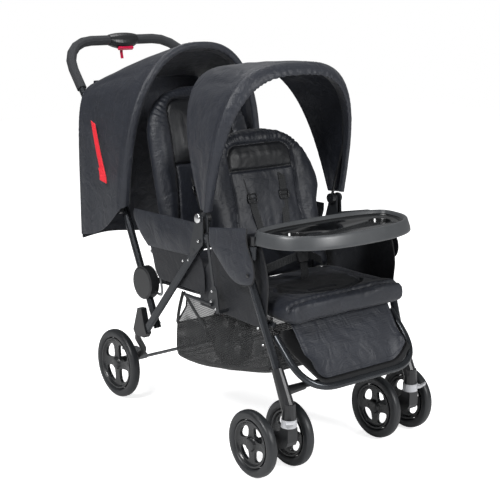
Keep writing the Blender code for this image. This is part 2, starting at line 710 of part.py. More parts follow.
def front_hub(side):
    word = SIDE_NAME[side]
    collar_top = leg_point(0.286)
    joint = Vector((HUB_HALF, CASTER_Y, 0.186))
    hub = rod("front_hub_" + word, mirrored(side, collar_top), mirrored(side, joint), 0.0155, PLASTIC,
              "front_frame", 14, 0.0185)
    bm = bmesh.new()
    x = side * HUB_HALF
    add_rod(bm, (x, CASTER_Y, 0.1645), (x, CASTER_Y, 0.205), 0.0195, 14, 0.0165)
    stem = finish(bm, "hub_stem_" + word, None, "front_frame", cutter=True)
    combine(hub, stem, "UNION")
    spigot = rod("hub_spigot_" + word, (x, CASTER_Y, CASTER_TOP + GAP), (x, CASTER_Y, 0.170), 0.0120, None,
                 "front_frame", 12, cutter=True)
    combine(hub, spigot, "UNION")
    arm = rod("hub_arm_" + word, (side * 0.214, -0.418, 0.231), (side * 0.150, -0.415, 0.231), 0.0130, None,
              "front_frame", 12, 0.0105, cutter=True)
    combine(hub, arm, "UNION")
    end = rod("crossbar_bore_" + word, (side * 0.140, -0.415, 0.231), (side * 0.1735, -0.415, 0.231),
              CROSSBAR_R + GAP, None, "front_frame", 12, cutter=True)
    combine(hub, end, "DIFFERENCE")
    tail = LEG_END_3D + LOWER_DIR * GAP
    bore = rod("leg_bore_" + word, mirrored(side, leg_point(0.32)), mirrored(side, tail), LEG_R + 0.0010, None,
               "front_frame", 12, cutter=True)
    combine(hub, bore, "DIFFERENCE")


def footrest():
    top = leg_point(0.362)
    x = top.x - LEG_R - FOOTREST_R - 0.0009
    path = rounded([(-x, top.y, top.z), (-0.203, -0.497, 0.236), (0.203, -0.497, 0.236), (x, top.y, top.z)],
                   (0.080, 0.080), 5)
    tube("footrest_tube", path, FOOTREST_R, TUBE, "front_frame", 10)


def front_seat_base():
    """A U of tube under the front seat, pinned to the legs, that also carries the lower plates."""
    front, rear, z = leg_point(0.390), -0.187, 0.3915
    x = FRONT_BASE_HALF
    path = rounded([(-x, front.y - 0.007, z), (-x, rear, z), (x, rear, z), (x, front.y - 0.007, z)],
                   (0.030, 0.030), 5)
    base = tube_mesh("front_seat_base", path, FRONT_BASE_R, TUBE, "front_frame", 8)
    for side in (LEFT, RIGHT):
        word = SIDE_NAME[side]
        gap_x = front.x - LEG_R - GAP - 0.0006
        pin = rod("base_pin_" + word, (side * x, front.y, z), (side * gap_x, front.y, z), PIN_R, None,
                  "front_frame", 12, cutter=True)
        combine(base, pin, "UNION")


LOWER_PLATE = (-0.172, 0.430)
OUTSIDE = KNEE_HALF + LEG_R + 0.0008     # where the pieces outside the legs begin


def lower_hinge(side):
    """The lower plate, hung from the knee by a thin link and joined to the front seat base."""
    word = SIDE_NAME[side]
    x0, x1 = OUTSIDE, OUTSIDE + 0.0032
    y, z = LOWER_PLATE
    outline = hull_outline([(y, z + 0.022, 0.014), (y + 0.008, z, 0.016), (y - 0.013, z - 0.028, 0.009)], 14)
    hinge = plate("lower_hinge_" + word, outline, side, x0, x1, PLATE, "front_frame")
    bm = bmesh.new()
    flat_bar(bm, (-0.141, 0.600), (y, z + 0.02), side * (x0 + x1) / 2, 0.0026, 0.011)
    link = finish(bm, "hanger_link_" + word, None, "front_frame", cutter=True)
    combine(hinge, link, "UNION")
    seat = (-0.191, 0.3985)
    boss = rod("lower_boss_" + word, (side * (FRONT_BASE_HALF + FRONT_BASE_R + 0.0005), *seat),
               (side * (x0 + 0.001), *seat), 0.005, None, "front_frame", 12, cutter=True)
    combine(hinge, boss, "UNION")
    rail = rod("seat_rail_" + word, (side * (x0 + 0.005), y + 0.004, 0.414), (side * (x0 + 0.005), -0.046, 0.4165),
               0.005, None, "front_frame", 10, cutter=True)
    combine(hinge, rail, "UNION")
    rivet = rod("link_rivet_" + word, (side * (OUTSIDE - 0.0004), -0.141, 0.5945),
                (side * (x0 + 0.001), -0.141, 0.5945), 0.0035, None, "front_frame", 10, cutter=True)
    combine(hinge, rivet, "UNION")


def calf_flap():
    """The padded flap that hangs from the front of the seat inside the footrest."""
    top, low = Vector((-0.4085, 0.4012)), Vector((-0.4630, 0.262))
    out = Vector((low - top).normalized())
    normal = Vector((out[1], -out[0]))

    def shape(u, v, w):
        t = (1 - v) / 2
        corner = max(0.0, (t - 0.72) / 0.28)
        half = 0.172 - 0.018 * t - 0.052 * corner ** 2.4
        point = top.lerp(low, t) + normal * (0.0045 * w * (1 - 0.5 * abs(u) ** 6) + 0.004 * math.cos(u * 1.5))
        return Vector((u * half, point[0], point[1]))

    cage("calf_flap", shape, (8, 6, 1), FABRIC, "front_frame")


def front_frame():
    for side in (LEFT, RIGHT):
        front_leg(side)
        front_hub(side)
        lower_hinge(side)
    rod("front_crossbar", (-0.173, -0.415, 0.231), (0.173, -0.415, 0.231), CROSSBAR_R, TUBE, "front_frame", 12)
    footrest()
    front_seat_base()
    calf_flap()


front_frame()


# Casters: fork with its axle, and the ring that locks the swivel

def caster(side):
    word = SIDE_NAME[side]
    x = side * HUB_HALF
    body = "caster_" + word
    half = 0.0165
    outline = [(-0.455, CASTER_TOP), (-0.455, 0.104), (-0.449, 0.092), (-0.430, 0.082), (-0.395, 0.0765)]
    outline += [(FRONT_AXLE[0] + 0.016 * math.cos(t), FRONT_AXLE[1] + 0.016 * math.sin(t))
                for t in np.radians(np.linspace(-90, 90, 7))]
    outline += [(-0.395, 0.108), (-0.413, 0.118), (-0.423, 0.130), (-0.425, CASTER_TOP)]
    bm = bmesh.new()
    add_plate(bm, outline, x - half, x + half)
    fork = finish(bm, "caster_fork_" + word, PLASTIC, body)
    bm = bmesh.new()
    reach = TWIN_HALF + 0.0062
    add_rod(bm, (x - reach, *FRONT_AXLE), (x + reach, *FRONT_AXLE), AXLE_R, 16)
    axle = finish(bm, "caster_axle_" + word, None, body, cutter=True)
    combine(fork, axle, "UNION")
    boss_reach = TWIN_HALF - 0.0135 - 0.0008
    boss = rod("caster_boss_" + word, (x - boss_reach, *FRONT_AXLE), (x + boss_reach, *FRONT_AXLE), 0.0105,
               None, body, 16, cutter=True)
    combine(fork, boss, "UNION")


def swivel_lock(side):
    """A pale ring under the hub with a curved finger tab."""
    word = SIDE_NAME[side]
    x = side * HUB_HALF
    low, high = CASTER_TOP + 0.0012, 0.1635
    lock = rod("swivel_lock_" + word, (x, CASTER_Y, low), (x, CASTER_Y, high), 0.0205, GREY, "lock_" + word, 24)
    bm = bmesh.new()
    tab = [(-0.008, low + 0.004), (0.012, low + 0.005), (0.030, low + 0.011), (0.043, low + 0.021),
           (0.041, low + 0.025), (0.028, low + 0.0165), (0.012, high - 0.004), (-0.008, high - 0.003)]
    add_plate(bm, tab, -0.009, 0.009)
    turn = Matrix.Rotation(math.radians(180 + side * 38), 4, "Z")
    bmesh.ops.transform(bm, verts=bm.verts, matrix=Matrix.Translation((x, CASTER_Y, 0)) @ turn)
    finger = finish(bm, "lock_finger_" + word, None, "lock_" + word, cutter=True)
    combine(lock, finger, "UNION")
    bore = rod("lock_bore_" + word, (x, CASTER_Y, low - 0.01), (x, CASTER_Y, high + 0.01), 0.0128, None,
               "lock_" + word, 20, cutter=True)
    combine(lock, bore, "DIFFERENCE")


for side in (LEFT, RIGHT):
    caster(side)
    swivel_lock(side)


# Seats

def groove(distance, width, depth):
    """How far a sewn line pulls the cover in at a distance from it."""
    return depth * math.exp(-(distance / width) ** 2)


def front_seat_cushion():
    low, high = FRONT_SEAT_Z
    rear, front = FRONT_SEAT_BACK, FRONT_SEAT_FRONT

    def shape(u, v, w):
        y = front + (rear - front) * (v + 1) / 2
        pull = 0.006 * (1 - u * u) * abs(v) ** 3
        corner = 1 - 0.10 * max(0.0, abs(v) - 0.55) ** 1.5
        x = u * FRONT_SEAT_HALF * corner
        edge = (1 - abs(u) ** 5) * (1 - abs(v) ** 6)
        middle = (low + high) / 2
        half = (high - low) / 2
        swell = 0.012 * edge
        seam = groove(v + 0.62, 0.10, 0.008) + groove(abs(u) - 0.62, 0.07, 0.006)
        top = half * (0.55 + 0.45 * edge ** 0.4) + swell - seam * edge
        bottom = -half * (0.62 + 0.38 * edge ** 0.4)
        z = middle + (top if w > 0 else bottom) * abs(w)
        return Vector((x, y - pull * math.copysign(1, v) * 0.5, z))

    cage("front_seat_cushion", shape, (12, 10, 2), FABRIC, "front_frame")


def seat_back(name, body, pivot, length, lean, width, thickness, gather, front_y=0.0):
    """A padded seat back: arched top, gathered border and a sunk headrest panel."""
    tilt = math.radians(lean)
    along = Vector((math.sin(tilt), math.cos(tilt)))
    normal = Vector((-math.cos(tilt), math.sin(tilt)))

    def shape(u, v, w):
        t = (v + 1) / 2
        arch = max(0.0, (t - 0.62) / 0.38)
        half = width(t) * (1 - 0.42 * arch ** 3.2)
        lift = length * (t - 0.10 * arch ** 2 * u * u)
        edge = (1 - abs(u) ** 6) * (1 - abs(v) ** 8)
        border = max(abs(u), (t - 0.5) * 1.7 if t > 0.5 else 0.0)
        swell = 0.010 * smooth_step(0.62, 0.86, border) * (1 - smooth_step(0.9, 1.0, border))
        ripple = gather * math.sin(26 * (abs(u) * 0.7 + t * 3)) * smooth_step(0.7, 0.85, border)
        seam = groove(border - 0.64, 0.05, 0.008) + groove(t - 0.46, 0.035, 0.006) * (abs(u) < 0.66)
        front = thickness * (0.5 * (0.35 + 0.65 * edge ** 0.5)) + (swell + ripple - seam) * edge
        back = -thickness * (0.5 * (0.45 + 0.55 * edge ** 0.5))
        depth = (front if w > 0 else back) * abs(w)
        y, z = Vector(pivot) + along * lift + normal * (depth + front_y)
        return Vector((u * half, y, z))

    cage(name, shape, (12, 14, 2), FABRIC, body)


def front_back_width(t):
    """Narrow between the knee brackets, wide above them."""
    return 0.200 + 0.020 * smooth_step(0.44, 0.58, t)


def rear_back_width(t):
    return REAR_BACK_HALF


def rear_seat_cushion():
    low, high = REAR_SEAT_Z
    front, rear = REAR_SEAT_Y

    def shape(u, v, w):
        y = front + (rear - front) * (v + 1) / 2
        edge = (1 - abs(u) ** 5) * (1 - abs(v) ** 6)
        corner = 1 - 0.10 * max(0.0, abs(v) - 0.55) ** 1.5
        middle, half = (low + high) / 2, (high - low) / 2
        seam = groove(v + 0.55, 0.10, 0.008)
        top = half * (0.5 + 0.5 * edge ** 0.4) + 0.010 * edge - seam * edge
        bottom = -half * (0.6 + 0.4 * edge ** 0.4)
        return Vector((u * REAR_SEAT_HALF * corner, y, middle + (top if w > 0 else bottom) * abs(w)))

    cage("rear_seat_cushion", shape, (10, 8, 2), FABRIC, "rear_base")


def rear_seat_base():
    """A U of tube that turns on pins through the push tubes and reaches forward to the lower plates."""
    x, z = BASE_HALF, 0.411
    front = -0.088
    path = rounded([(-x, *DISC), (-x, DISC[0] - 0.05, z - 0.006), (-x, front, z), (x, front, z),
                    (x, DISC[0] - 0.05, z - 0.006), (x, *DISC)], (0.2, 0.030, 0.030, 0.2), 3)
    base = tube_mesh("rear_seat_base", path, BASE_R, TUBE, "rear_base", 8)
    for side in (LEFT, RIGHT):
        word = SIDE_NAME[side]
        cross = rod("seat_cross_" + word, (0, 0.030, z), (side * (x - 0.002), 0.030, z), 0.008, None, "rear_base", 10,
                    cutter=True)
        combine(base, cross, "UNION")
        pin = rod("disc_pin_" + word, side_point(side * (x - 0.004), DISC), side_point(side * 0.2312, DISC),
                  PIN_R, None, "rear_base", 12, cutter=True)
        combine(base, pin, "UNION")
        end = rod("disc_eye_" + word, side_point(side * (x - 0.0085), DISC), side_point(side * (x + 0.0085), DISC),
                  0.0125, None, "rear_base", 16, cutter=True)
        combine(base, end, "UNION")


front_seat_cushion()
seat_back("front_seat_back", "front_back", FRONT_BACK_PIVOT, FRONT_BACK_LENGTH, FRONT_BACK_LEAN,
          front_back_width, 0.044, 0.0016)
rear_seat_base()
rear_seat_cushion()
seat_back("rear_seat_back", "rear_back", REAR_BACK_PIVOT, REAR_BACK_LENGTH, REAR_BACK_LEAN,
          rear_back_width, 0.044, 0.0012)


# Hoods: an arch is (half width, height, exponent, forward lean in degrees, base y, base z)

FRONT_REAR_EDGE = (0.233, 0.396, 2.85, -21.5, -0.080, 0.656)
FRONT_HEM = (0.254, 0.396, 3.2, 9.75, -0.125, 0.656)
FRONT_LIP = (0.229, 0.362, 3.0, 14.0, -0.129, 0.660)
REAR_HEM = (0.262, 0.478, 2.45, 5.3, 0.277, 0.607)
REAR_LIP = (0.243, 0.452, 2.5, 5.3, 0.272, 0.617)
REAR_EDGE = (0.254, 0.420, 9.0, 0.0, 0.4835, 0.500)


def arch_point(arch, s, inset=0.0):
    """A point on an arch: s runs from -1 at the right foot over the top to 1 at the left foot."""
    half, height, power, lean, y, z = arch
    angle = math.pi / 2 * (1 + s)
    cosine, sine = math.cos(angle), math.sin(angle)
    x = -(half - inset) * math.copysign(abs(cosine) ** (2 / power), cosine)
    rise = (height - inset) * abs(sine) ** (2 / power)
    tilt = math.radians(lean)
    return Vector((x, y - rise * math.sin(tilt), z + rise * math.cos(tilt)))


def hood(name, body, rear, hem, lip, bulge, cells, material=FABRIC):
    """One sheet from the rear edge over the top to the hem, then turned in to the lip."""
    def shape(u, v, w):
        inset = CLOTH * (1 - w) / 2
        t = (v + 1) / 2 / 0.84
        if t <= 1:
            point = arch_point(rear, u, inset).lerp(arch_point(hem, u, inset), t)
            crown = bulge * 4 * t * (1 - t)
            point += Vector((0, 0, crown * math.cos(u * math.pi / 2)))
            return point
        turn_in = (t - 1) / (1 / 0.84 - 1)
        outer = arch_point(hem, u, 0.0).lerp(arch_point(lip, u, 0.0), turn_in)
        inner = arch_point(hem, u, CLOTH).lerp(arch_point(lip, u, 0.0), turn_in) + Vector((0, CLOTH * turn_in, 0))
        return outer.lerp(inner, (1 - w) / 2)

    cage(name, shape, cells, material, body, 50)


def bow(name, body, rear, hem, mix, pivot, hub, inset):
    """A thin bow just behind the hem, under the cover, with a round hub at each end."""
    count = 14
    turns = [-1 + 2 * i / count for i in range(count + 1)]
    path = [arch_point(rear, s, inset).lerp(arch_point(hem, s, inset), mix) for s in turns]
    middle_x = (hub[0] + hub[1]) / 2
    path = ([Vector((-middle_x, *pivot))] + [p for p in path if p.z > pivot[1] + 0.035]
            + [Vector((middle_x, *pivot))])
    piece = tube_mesh(name, path, BOW_R, PLASTIC, body, 6)
    for side in (LEFT, RIGHT):
        word = SIDE_NAME[side]
        disc = rod(f"{name}_hub_{word}", side_point(side * hub[0], pivot), side_point(side * hub[1], pivot),
                   0.0145, None, body, 14, cutter=True)
        combine(piece, disc, "UNION")
        hole = rod(f"{name}_hole_{word}", side_point(side * (hub[0] - 0.01), pivot),
                   side_point(side * (hub[1] + 0.01), pivot), PIN_R + PIN_GAP, None, body, 12, cutter=True)
        combine(piece, hole, "DIFFERENCE")


bow("front_hood_bow", "front_hood", FRONT_REAR_EDGE, FRONT_HEM, 0.88, HOOD_PIVOT, HOOD_HUB,
    CLOTH + BOW_R + 0.0014)
hood("front_hood_cover", "front_hood", FRONT_REAR_EDGE, FRONT_HEM, FRONT_LIP, 0.006, (18, 6, 1))
bow("rear_hood_bow", "rear_hood", REAR_EDGE, REAR_HEM, 0.92, REAR_HOOD_PIVOT, REAR_HUB,
    CLOTH + BOW_R + 0.0014)
hood("rear_hood_cover", "rear_hood", REAR_EDGE, REAR_HEM, REAR_LIP, 0.004, (18, 6, 1))


def rear_curtain():
    """The panel that closes the back of the rear seat, cut away at the top for the push tubes."""
    def shape(u, v, w):
        t = (v + 1) / 2
        z = 0.478 + 0.446 * t
        half = 0.250 - 0.052 * smooth_step(0.70, 0.80, t)
        y = 0.4842 + 0.006 * math.cos(u * math.pi / 2) * math.sin(math.pi * t) + CLOTH * (w + 1) / 2
        fold = 0.0025 * math.sin(u * 9) * (1 - t) * (1 - u * u)
        return Vector((u * half, y + fold, z))

    cage("rear_curtain", shape, (10, 6, 1), FABRIC, "push_frame", 60)


rear_curtain()


# Side skirts and basket

def soft_panel(name, outline, side, x_low, x_high, body):
    bm = bmesh.new()
    add_plate(bm, outline, side * x_low, side * x_high)
    return finish(bm, name, FABRIC, body)


FRONT_SKIRT = [(-0.160, 0.616), (-0.205, 0.624), (-0.284, 0.640), (-0.289, 0.600), (-0.298, 0.583),
               (-0.330, 0.540), (-0.346, 0.512), (-0.338, 0.501), (-0.300, 0.492), (-0.266, 0.494),
               (-0.232, 0.509), (-0.206, 0.530), (-0.182, 0.556), (-0.166, 0.585)]
REAR_SKIRT = [(-0.063, 0.615), (0.070, 0.606), (0.150, 0.604), (0.206, 0.612), (0.212, 0.598),
              (0.200, 0.560), (0.176, 0.520), (0.152, 0.487), (0.138, 0.440), (0.118, 0.4235),
              (0.040, 0.421), (-0.020, 0.424), (-0.060, 0.432),
              (-0.060, 0.495), (-0.044, 0.525), (-0.044, 0.560), (-0.061, 0.590)]

for side in (LEFT, RIGHT):
    word = SIDE_NAME[side]
    soft_panel("front_skirt_" + word, FRONT_SKIRT, side, OUTSIDE, OUTSIDE + CLOTH, "front_frame")
    soft_panel("rear_skirt_" + word, REAR_SKIRT, side, PUSH_HALF + PUSH_R + 0.0008, FLAT_IN - 0.0006, "rear_frame")


def basket():
    """An open-topped mesh basket slung between the legs."""
    outer = [(0.104, 0.290), (0.112, 0.220), (0.112, 0.182), (0.085, 0.172), (0.000, 0.178), (-0.128, 0.196),
             (-0.290, 0.232), (-0.322, 0.262), (-0.330, 0.382), (-0.187, 0.3829), (0.030, 0.384), (0.060, 0.345)]
    inner = [(0.101, 0.300), (0.109, 0.220), (0.109, 0.184), (0.084, 0.175), (0.000, 0.181), (-0.128, 0.199),
             (-0.289, 0.235), (-0.319, 0.263), (-0.327, 0.400), (0.080, 0.400)]
    half = 0.184
    shell = plate("basket", outer, 1, -half, half, MESH, "rear_frame")
    hollow = plate("basket_hollow", inner, 1, -half + 0.003, half - 0.003, None, "rear_frame", cutter=True)
    combine(shell, hollow, "DIFFERENCE")


basket()


# Tray: a moulded ring with a sunk top, two cup wells and a peg that it turns on

def tray_outline(grow, count=24):
    """The tray from above: a bow front and a flatter back."""
    half, front, rear = TRAY_HALF + grow, 0.150 + grow, 0.058 + grow
    points = []
    for i in range(count):
        t = 2 * math.pi * i / count
        c, s = math.cos(t), math.sin(t)
        reach = front if s > 0 else -rear
        points.append((half * math.copysign(abs(c) ** 0.78, c), TRAY_MIDDLE_Y - reach * abs(s) ** 0.78))
    return points


def tray():
    """One closed moulding: outer wall, rim, sunk floor and the hollow underneath."""
    low, high = TRAY_Z
    bm = bmesh.new()
    rings = []
    for grow, z in ((-0.006, high - 0.0155), (TRAY_FLARE - 0.004, low), (TRAY_FLARE, low), (0.0, high),
                    (-0.009, high), (-0.013, high - 0.012)):
        rings.append([bm.verts.new((x, y, z)) for x, y in tray_outline(grow)])
    count = len(rings[0])
    for lower, upper in zip(rings, rings[1:]):
        for i in range(count):
            j = (i + 1) % count
            bm.faces.new((lower[i], lower[j], upper[j], upper[i]))
    bm.faces.new(rings[0])
    bm.faces.new(rings[-1])
    piece = finish(bm, "tray", PLASTIC, "tray", 50)
    bm = bmesh.new()
    for side in (LEFT, RIGHT):
        add_rod(bm, (side * 0.165, -0.375, low + 0.002), (side * 0.165, -0.375, high - 0.0095), 0.0345, 16, 0.0340)
    combine(piece, finish(bm, "cup_walls", None, "tray", cutter=True), "UNION")
    bm = bmesh.new()
    for side in (LEFT, RIGHT):
        add_rod(bm, (side * 0.165, -0.375, low + 0.005), (side * 0.165, -0.375, high + 0.004), 0.0275, 16, 0.031)
    combine(piece, finish(bm, "cup_wells", None, "tray", cutter=True), "DIFFERENCE")
    x, y = KNEE_HALF, TRAY_PIVOT_Y
    bm = bmesh.new()
    for side in (LEFT, RIGHT):
        add_rod(bm, (side * x, y, low - 0.0010), (side * x, y, high - 0.014), 0.0072, 10)
    combine(piece, finish(bm, "tray_bosses", None, "tray", cutter=True), "UNION")
    peg = rod("tray_peg", (x, y, low - 0.0200), (x, y, high - 0.016), PIN_R, None, "tray", 10, cutter=True)
    combine(piece, peg, "UNION")


tray()
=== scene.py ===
# %% [markdown]
# # A tandem stroller, dressed for its photograph
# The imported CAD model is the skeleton: tubes, plates, wheels and joints, all in metres, front towards -Y.
# This lesson keeps the hard parts that are already right, gives each a real finish, and models the sewn
# parts, the wheels and the tray again in full detail, each one riding on the body that it moves with.

# %% Load the frame
import json
import math

import bpy
import numpy as np
from mathutils import Matrix, Vector, noise


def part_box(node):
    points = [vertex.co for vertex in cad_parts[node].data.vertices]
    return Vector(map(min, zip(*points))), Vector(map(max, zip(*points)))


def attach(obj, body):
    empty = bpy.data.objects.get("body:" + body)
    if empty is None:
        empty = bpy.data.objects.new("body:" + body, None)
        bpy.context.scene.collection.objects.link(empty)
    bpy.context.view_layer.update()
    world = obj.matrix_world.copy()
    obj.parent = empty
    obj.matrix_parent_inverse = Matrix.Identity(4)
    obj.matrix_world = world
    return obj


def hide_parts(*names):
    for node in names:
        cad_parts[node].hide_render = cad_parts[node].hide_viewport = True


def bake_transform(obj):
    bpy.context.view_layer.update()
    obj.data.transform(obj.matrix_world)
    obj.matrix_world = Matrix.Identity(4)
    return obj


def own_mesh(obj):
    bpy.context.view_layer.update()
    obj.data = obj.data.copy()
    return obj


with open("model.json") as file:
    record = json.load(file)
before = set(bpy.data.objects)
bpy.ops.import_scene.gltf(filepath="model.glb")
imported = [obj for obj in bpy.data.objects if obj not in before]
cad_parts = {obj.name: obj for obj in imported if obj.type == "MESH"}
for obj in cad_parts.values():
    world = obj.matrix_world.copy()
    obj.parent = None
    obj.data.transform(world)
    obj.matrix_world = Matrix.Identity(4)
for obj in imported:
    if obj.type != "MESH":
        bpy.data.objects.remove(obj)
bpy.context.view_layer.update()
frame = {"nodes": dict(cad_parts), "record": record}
nodes = frame["nodes"]
SHIFT = 0.0833   # side-view sizes count y from the middle of the wheelbase, the row frame from the whole box
SIDES = {"right": -1, "left": 1}   # the stroller's own right hand is at -X, the side nearest the camera

# %% [markdown]
# The camera stands where the photographer stood: a little in front of the stroller's right-hand side and
# a little above the hoods, with a long lens so that the four sides stay nearly parallel.

# %% Camera
camera_data = bpy.data.cameras.new("camera")
camera_data.lens = 86.01
camera_data.sensor_width = 36.0
camera = bpy.data.objects.new("camera", camera_data)
camera.location = (-2.1037, -2.7100, 1.2668)
camera.rotation_euler = (math.radians(77.1045), 0.0, math.radians(-38.733))
bpy.context.scene.collection.objects.link(camera)
bpy.context.scene.camera = camera
bpy.context.scene.view_settings.view_transform = "Standard"
print("camera at", [round(c, 3) for c in camera.location])

# %% [markdown]
# Two helpers carry the whole lesson. The first turns a colour picked as sRGB hex into the linear values
# that Blender mixes. The second adds one shader node, sets its properties and fills or links its inputs.

# %% Colour and node helpers
def linear(code):
    """An sRGB hex colour as linear red, green, blue and 1."""
    parts = [int(code[i:i + 2], 16) / 255 for i in (1, 3, 5)]
    return [c / 12.92 if c <= 0.04045 else ((c + 0.055) / 1.055) ** 2.4 for c in parts] + [1.0]


def add(tree, kind, inputs=None, **settings):
    """One node, with its properties set and its inputs given a value or linked from a socket."""
    made = tree.nodes.new(kind)
    for key, value in settings.items():
        setattr(made, key, value)
    for key, value in (inputs or {}).items():
        if isinstance(value, bpy.types.NodeSocket):
            tree.links.new(value, made.inputs[key])
        else:
            made.inputs[key].default_value = value
    return made


def new_finish(name, roughness=0.5, metallic=0.0, **constants):
    """A material with its Principled shader; constants are set on the shader's own sockets."""
    finish = bpy.data.materials.new(name)
    finish.use_nodes = True
    tree = finish.node_tree
    shader = tree.nodes["Principled BSDF"]
    shader.inputs["Roughness"].default_value = roughness
    shader.inputs["Metallic"].default_value = metallic
    for key, value in constants.items():
        shader.inputs[key.replace("_", " ")].default_value = value
    where = add(tree, "ShaderNodeTexCoord").outputs["Object"]
    return finish, tree, shader, where


print("charcoal", [round(c, 4) for c in linear("#3A3D45")])

# %% [markdown]
# The frame is powder-coated steel tube: dry powder melts into a film with a faint orange-peel skin about
# a millimetre across, drawn twice as wide so that it shows. Paint hides the metal, so metallic stays
# part-way, for the flakes in the gunmetal colour. Plates are a flatter, darker coat. The brake bar and the
# fold links are zinc-plated, which mirrors softly in 4 mm spangles, and the rivets are bright nickel.

# %% Finishes for metal
def coated(name, dark, light, roughness, metallic, peel_mm, bump):
    """Powder coat: two close tones in patches 60 mm wide, and a fine orange peel."""
    finish, tree, shader, where = new_finish(name, roughness, metallic)
    patches = add(tree, "ShaderNodeTexNoise", {"Vector": where, "Scale": 1 / 0.060, "Detail": 3.0})
    tone = add(tree, "ShaderNodeMix", {0: patches.outputs["Fac"], 6: linear(dark), 7: linear(light)}, data_type="RGBA")
    tree.links.new(tone.outputs[2], shader.inputs["Base Color"])
    peel = add(tree, "ShaderNodeTexNoise", {"Vector": where, "Scale": 1000 / peel_mm, "Detail": 1.0})
    dull = add(tree, "ShaderNodeMapRange", {0: peel.outputs["Fac"], 3: roughness - 0.05, 4: roughness + 0.07})
    tree.links.new(dull.outputs[0], shader.inputs["Roughness"])
    raised = add(tree, "ShaderNodeBump", {"Strength": bump, "Distance": 0.0002, "Height": peel.outputs["Fac"]})
    tree.links.new(raised.outputs[0], shader.inputs["Normal"])
    return finish


tube_coat = coated("powder_coated_steel_tube", "#2A2C2F", "#3A3D41", 0.24, 0.62, 2.4, 0.18)
plate_coat = coated("powder_coated_steel_plate", "#27292C", "#323437", 0.36, 0.25, 2.0, 0.30)


def plated(name, texture, cell, dark, light, shiny, dull):
    """Bright plating: cells of a given size in metres vary its tone and its gloss."""
    finish, tree, shader, where = new_finish(name, dull, 1.0)
    cells = add(tree, texture, {"Vector": where, "Scale": 1 / cell}).outputs[0]
    tone = add(tree, "ShaderNodeMix", {0: cells, 6: linear(dark), 7: linear(light)}, data_type="RGBA")
    tree.links.new(tone.outputs[2], shader.inputs["Base Color"])
    gloss = add(tree, "ShaderNodeMapRange", {0: cells, 3: shiny, 4: dull})
    tree.links.new(gloss.outputs[0], shader.inputs["Roughness"])
    return finish


zinc = plated("zinc_plated_steel", "ShaderNodeTexVoronoi", 0.004, "#7B7D80", "#A2A4A6", 0.22, 0.40)
nickel = plated("nickel_plated_rivet", "ShaderNodeTexNoise", 0.003, "#C4C5C6", "#E2E2E2", 0.10, 0.26)
print("metal finishes:", tube_coat.name, plate_coat.name, zinc.name, nickel.name)

# %% [markdown]
# The joints, hubs and rims are injection-moulded nylon, whose spark-eroded mould leaves a fine even grain.
# Tyres are EVA foam with a smooth closed skin, slightly mottled. The grips are softer foam with open pores.

# %% Finishes for plastic and foam
def moulded(name, dark, light, roughness, grain_mm, bump, **constants):
    """Moulded plastic: mould grain as bump, and a little uneven gloss from handling."""
    finish, tree, shader, where = new_finish(name, roughness, 0.0, **constants)
    grain = add(tree, "ShaderNodeTexNoise", {"Vector": where, "Scale": 1000 / grain_mm, "Detail": 2.0})
    rub = add(tree, "ShaderNodeTexNoise", {"Vector": where, "Scale": 1 / 0.045, "Detail": 3.0})
    tone = add(tree, "ShaderNodeMix", {0: rub.outputs["Fac"], 6: linear(dark), 7: linear(light)}, data_type="RGBA")
    tree.links.new(tone.outputs[2], shader.inputs["Base Color"])
    dull = add(tree, "ShaderNodeMapRange", {0: rub.outputs["Fac"], 3: roughness - 0.06, 4: roughness + 0.08})
    tree.links.new(dull.outputs[0], shader.inputs["Roughness"])
    raised = add(tree, "ShaderNodeBump", {"Strength": bump, "Distance": 0.0003, "Height": grain.outputs["Fac"]})
    tree.links.new(raised.outputs[0], shader.inputs["Normal"])
    return finish


nylon = moulded("moulded_black_nylon", "#191A1C", "#242527", 0.34, 1.6, 0.20)
rim_nylon = moulded("moulded_wheel_rim", "#17181A", "#222426", 0.26, 1.6, 0.14)
grey_nylon = moulded("moulded_pale_grey_nylon", "#B7B8BC", "#CBCCCF", 0.42, 1.6, 0.15)
tyre_foam = moulded("eva_foam_tyre", "#1B1D1F", "#27292C", 0.42, 3.0, 0.28)
grip_foam = moulded("soft_foam_grip", "#26272A", "#323437", 0.86, 2.2, 0.90)
tray_rim = moulded("satin_tray_moulding", "#3E4042", "#4A4C4E", 0.34, 1.4, 0.12)
tray_top = moulded("gloss_tray_top", "#090A0B", "#101112", 0.13, 6.0, 0.03, Coat_Weight=0.35, Coat_Roughness=0.06)
crimson = moulded("moulded_crimson_trigger", "#C2123F", "#D51A4C", 0.38, 1.6, 0.15)
print("plastic finishes:", nylon.name, rim_nylon.name, tyre_foam.name, tray_rim.name)

# %% [markdown]
# The covers are plain-woven polyester. A real thread is 0.3 mm, which no picture of the whole stroller can
# show, so the weave is drawn with threads 2.2 mm apart. Two crossed sets of waves give the over-and-under,
# as bump and as painted shade in the dips with a faint painted highlight on the crowns; sheen gives the soft
# bright edge of cloth, and slow noise gives the uneven dye and the rub of use.

# %% Finishes for cloth
def crossed_waves(tree, where, spacing_mm, **inputs):
    """Waves along all three axes added up, so that any face shows two sets crossing.

    A wave texture repeats every pi / (10 * Scale), which is about twice the spacing here: in a plain weave
    one thread goes over and the next goes under."""
    waves = [add(tree, "ShaderNodeTexWave", {"Vector": where, "Scale": 1000 / spacing_mm / math.pi / 2, **inputs},
                 bands_direction=axis).outputs["Fac"] for axis in ("X", "Y", "Z")]
    first = add(tree, "ShaderNodeMath", {0: waves[0], 1: waves[1]}, operation="ADD")
    return add(tree, "ShaderNodeMath", {0: first.outputs[0], 1: waves[2]}, operation="ADD").outputs[0]


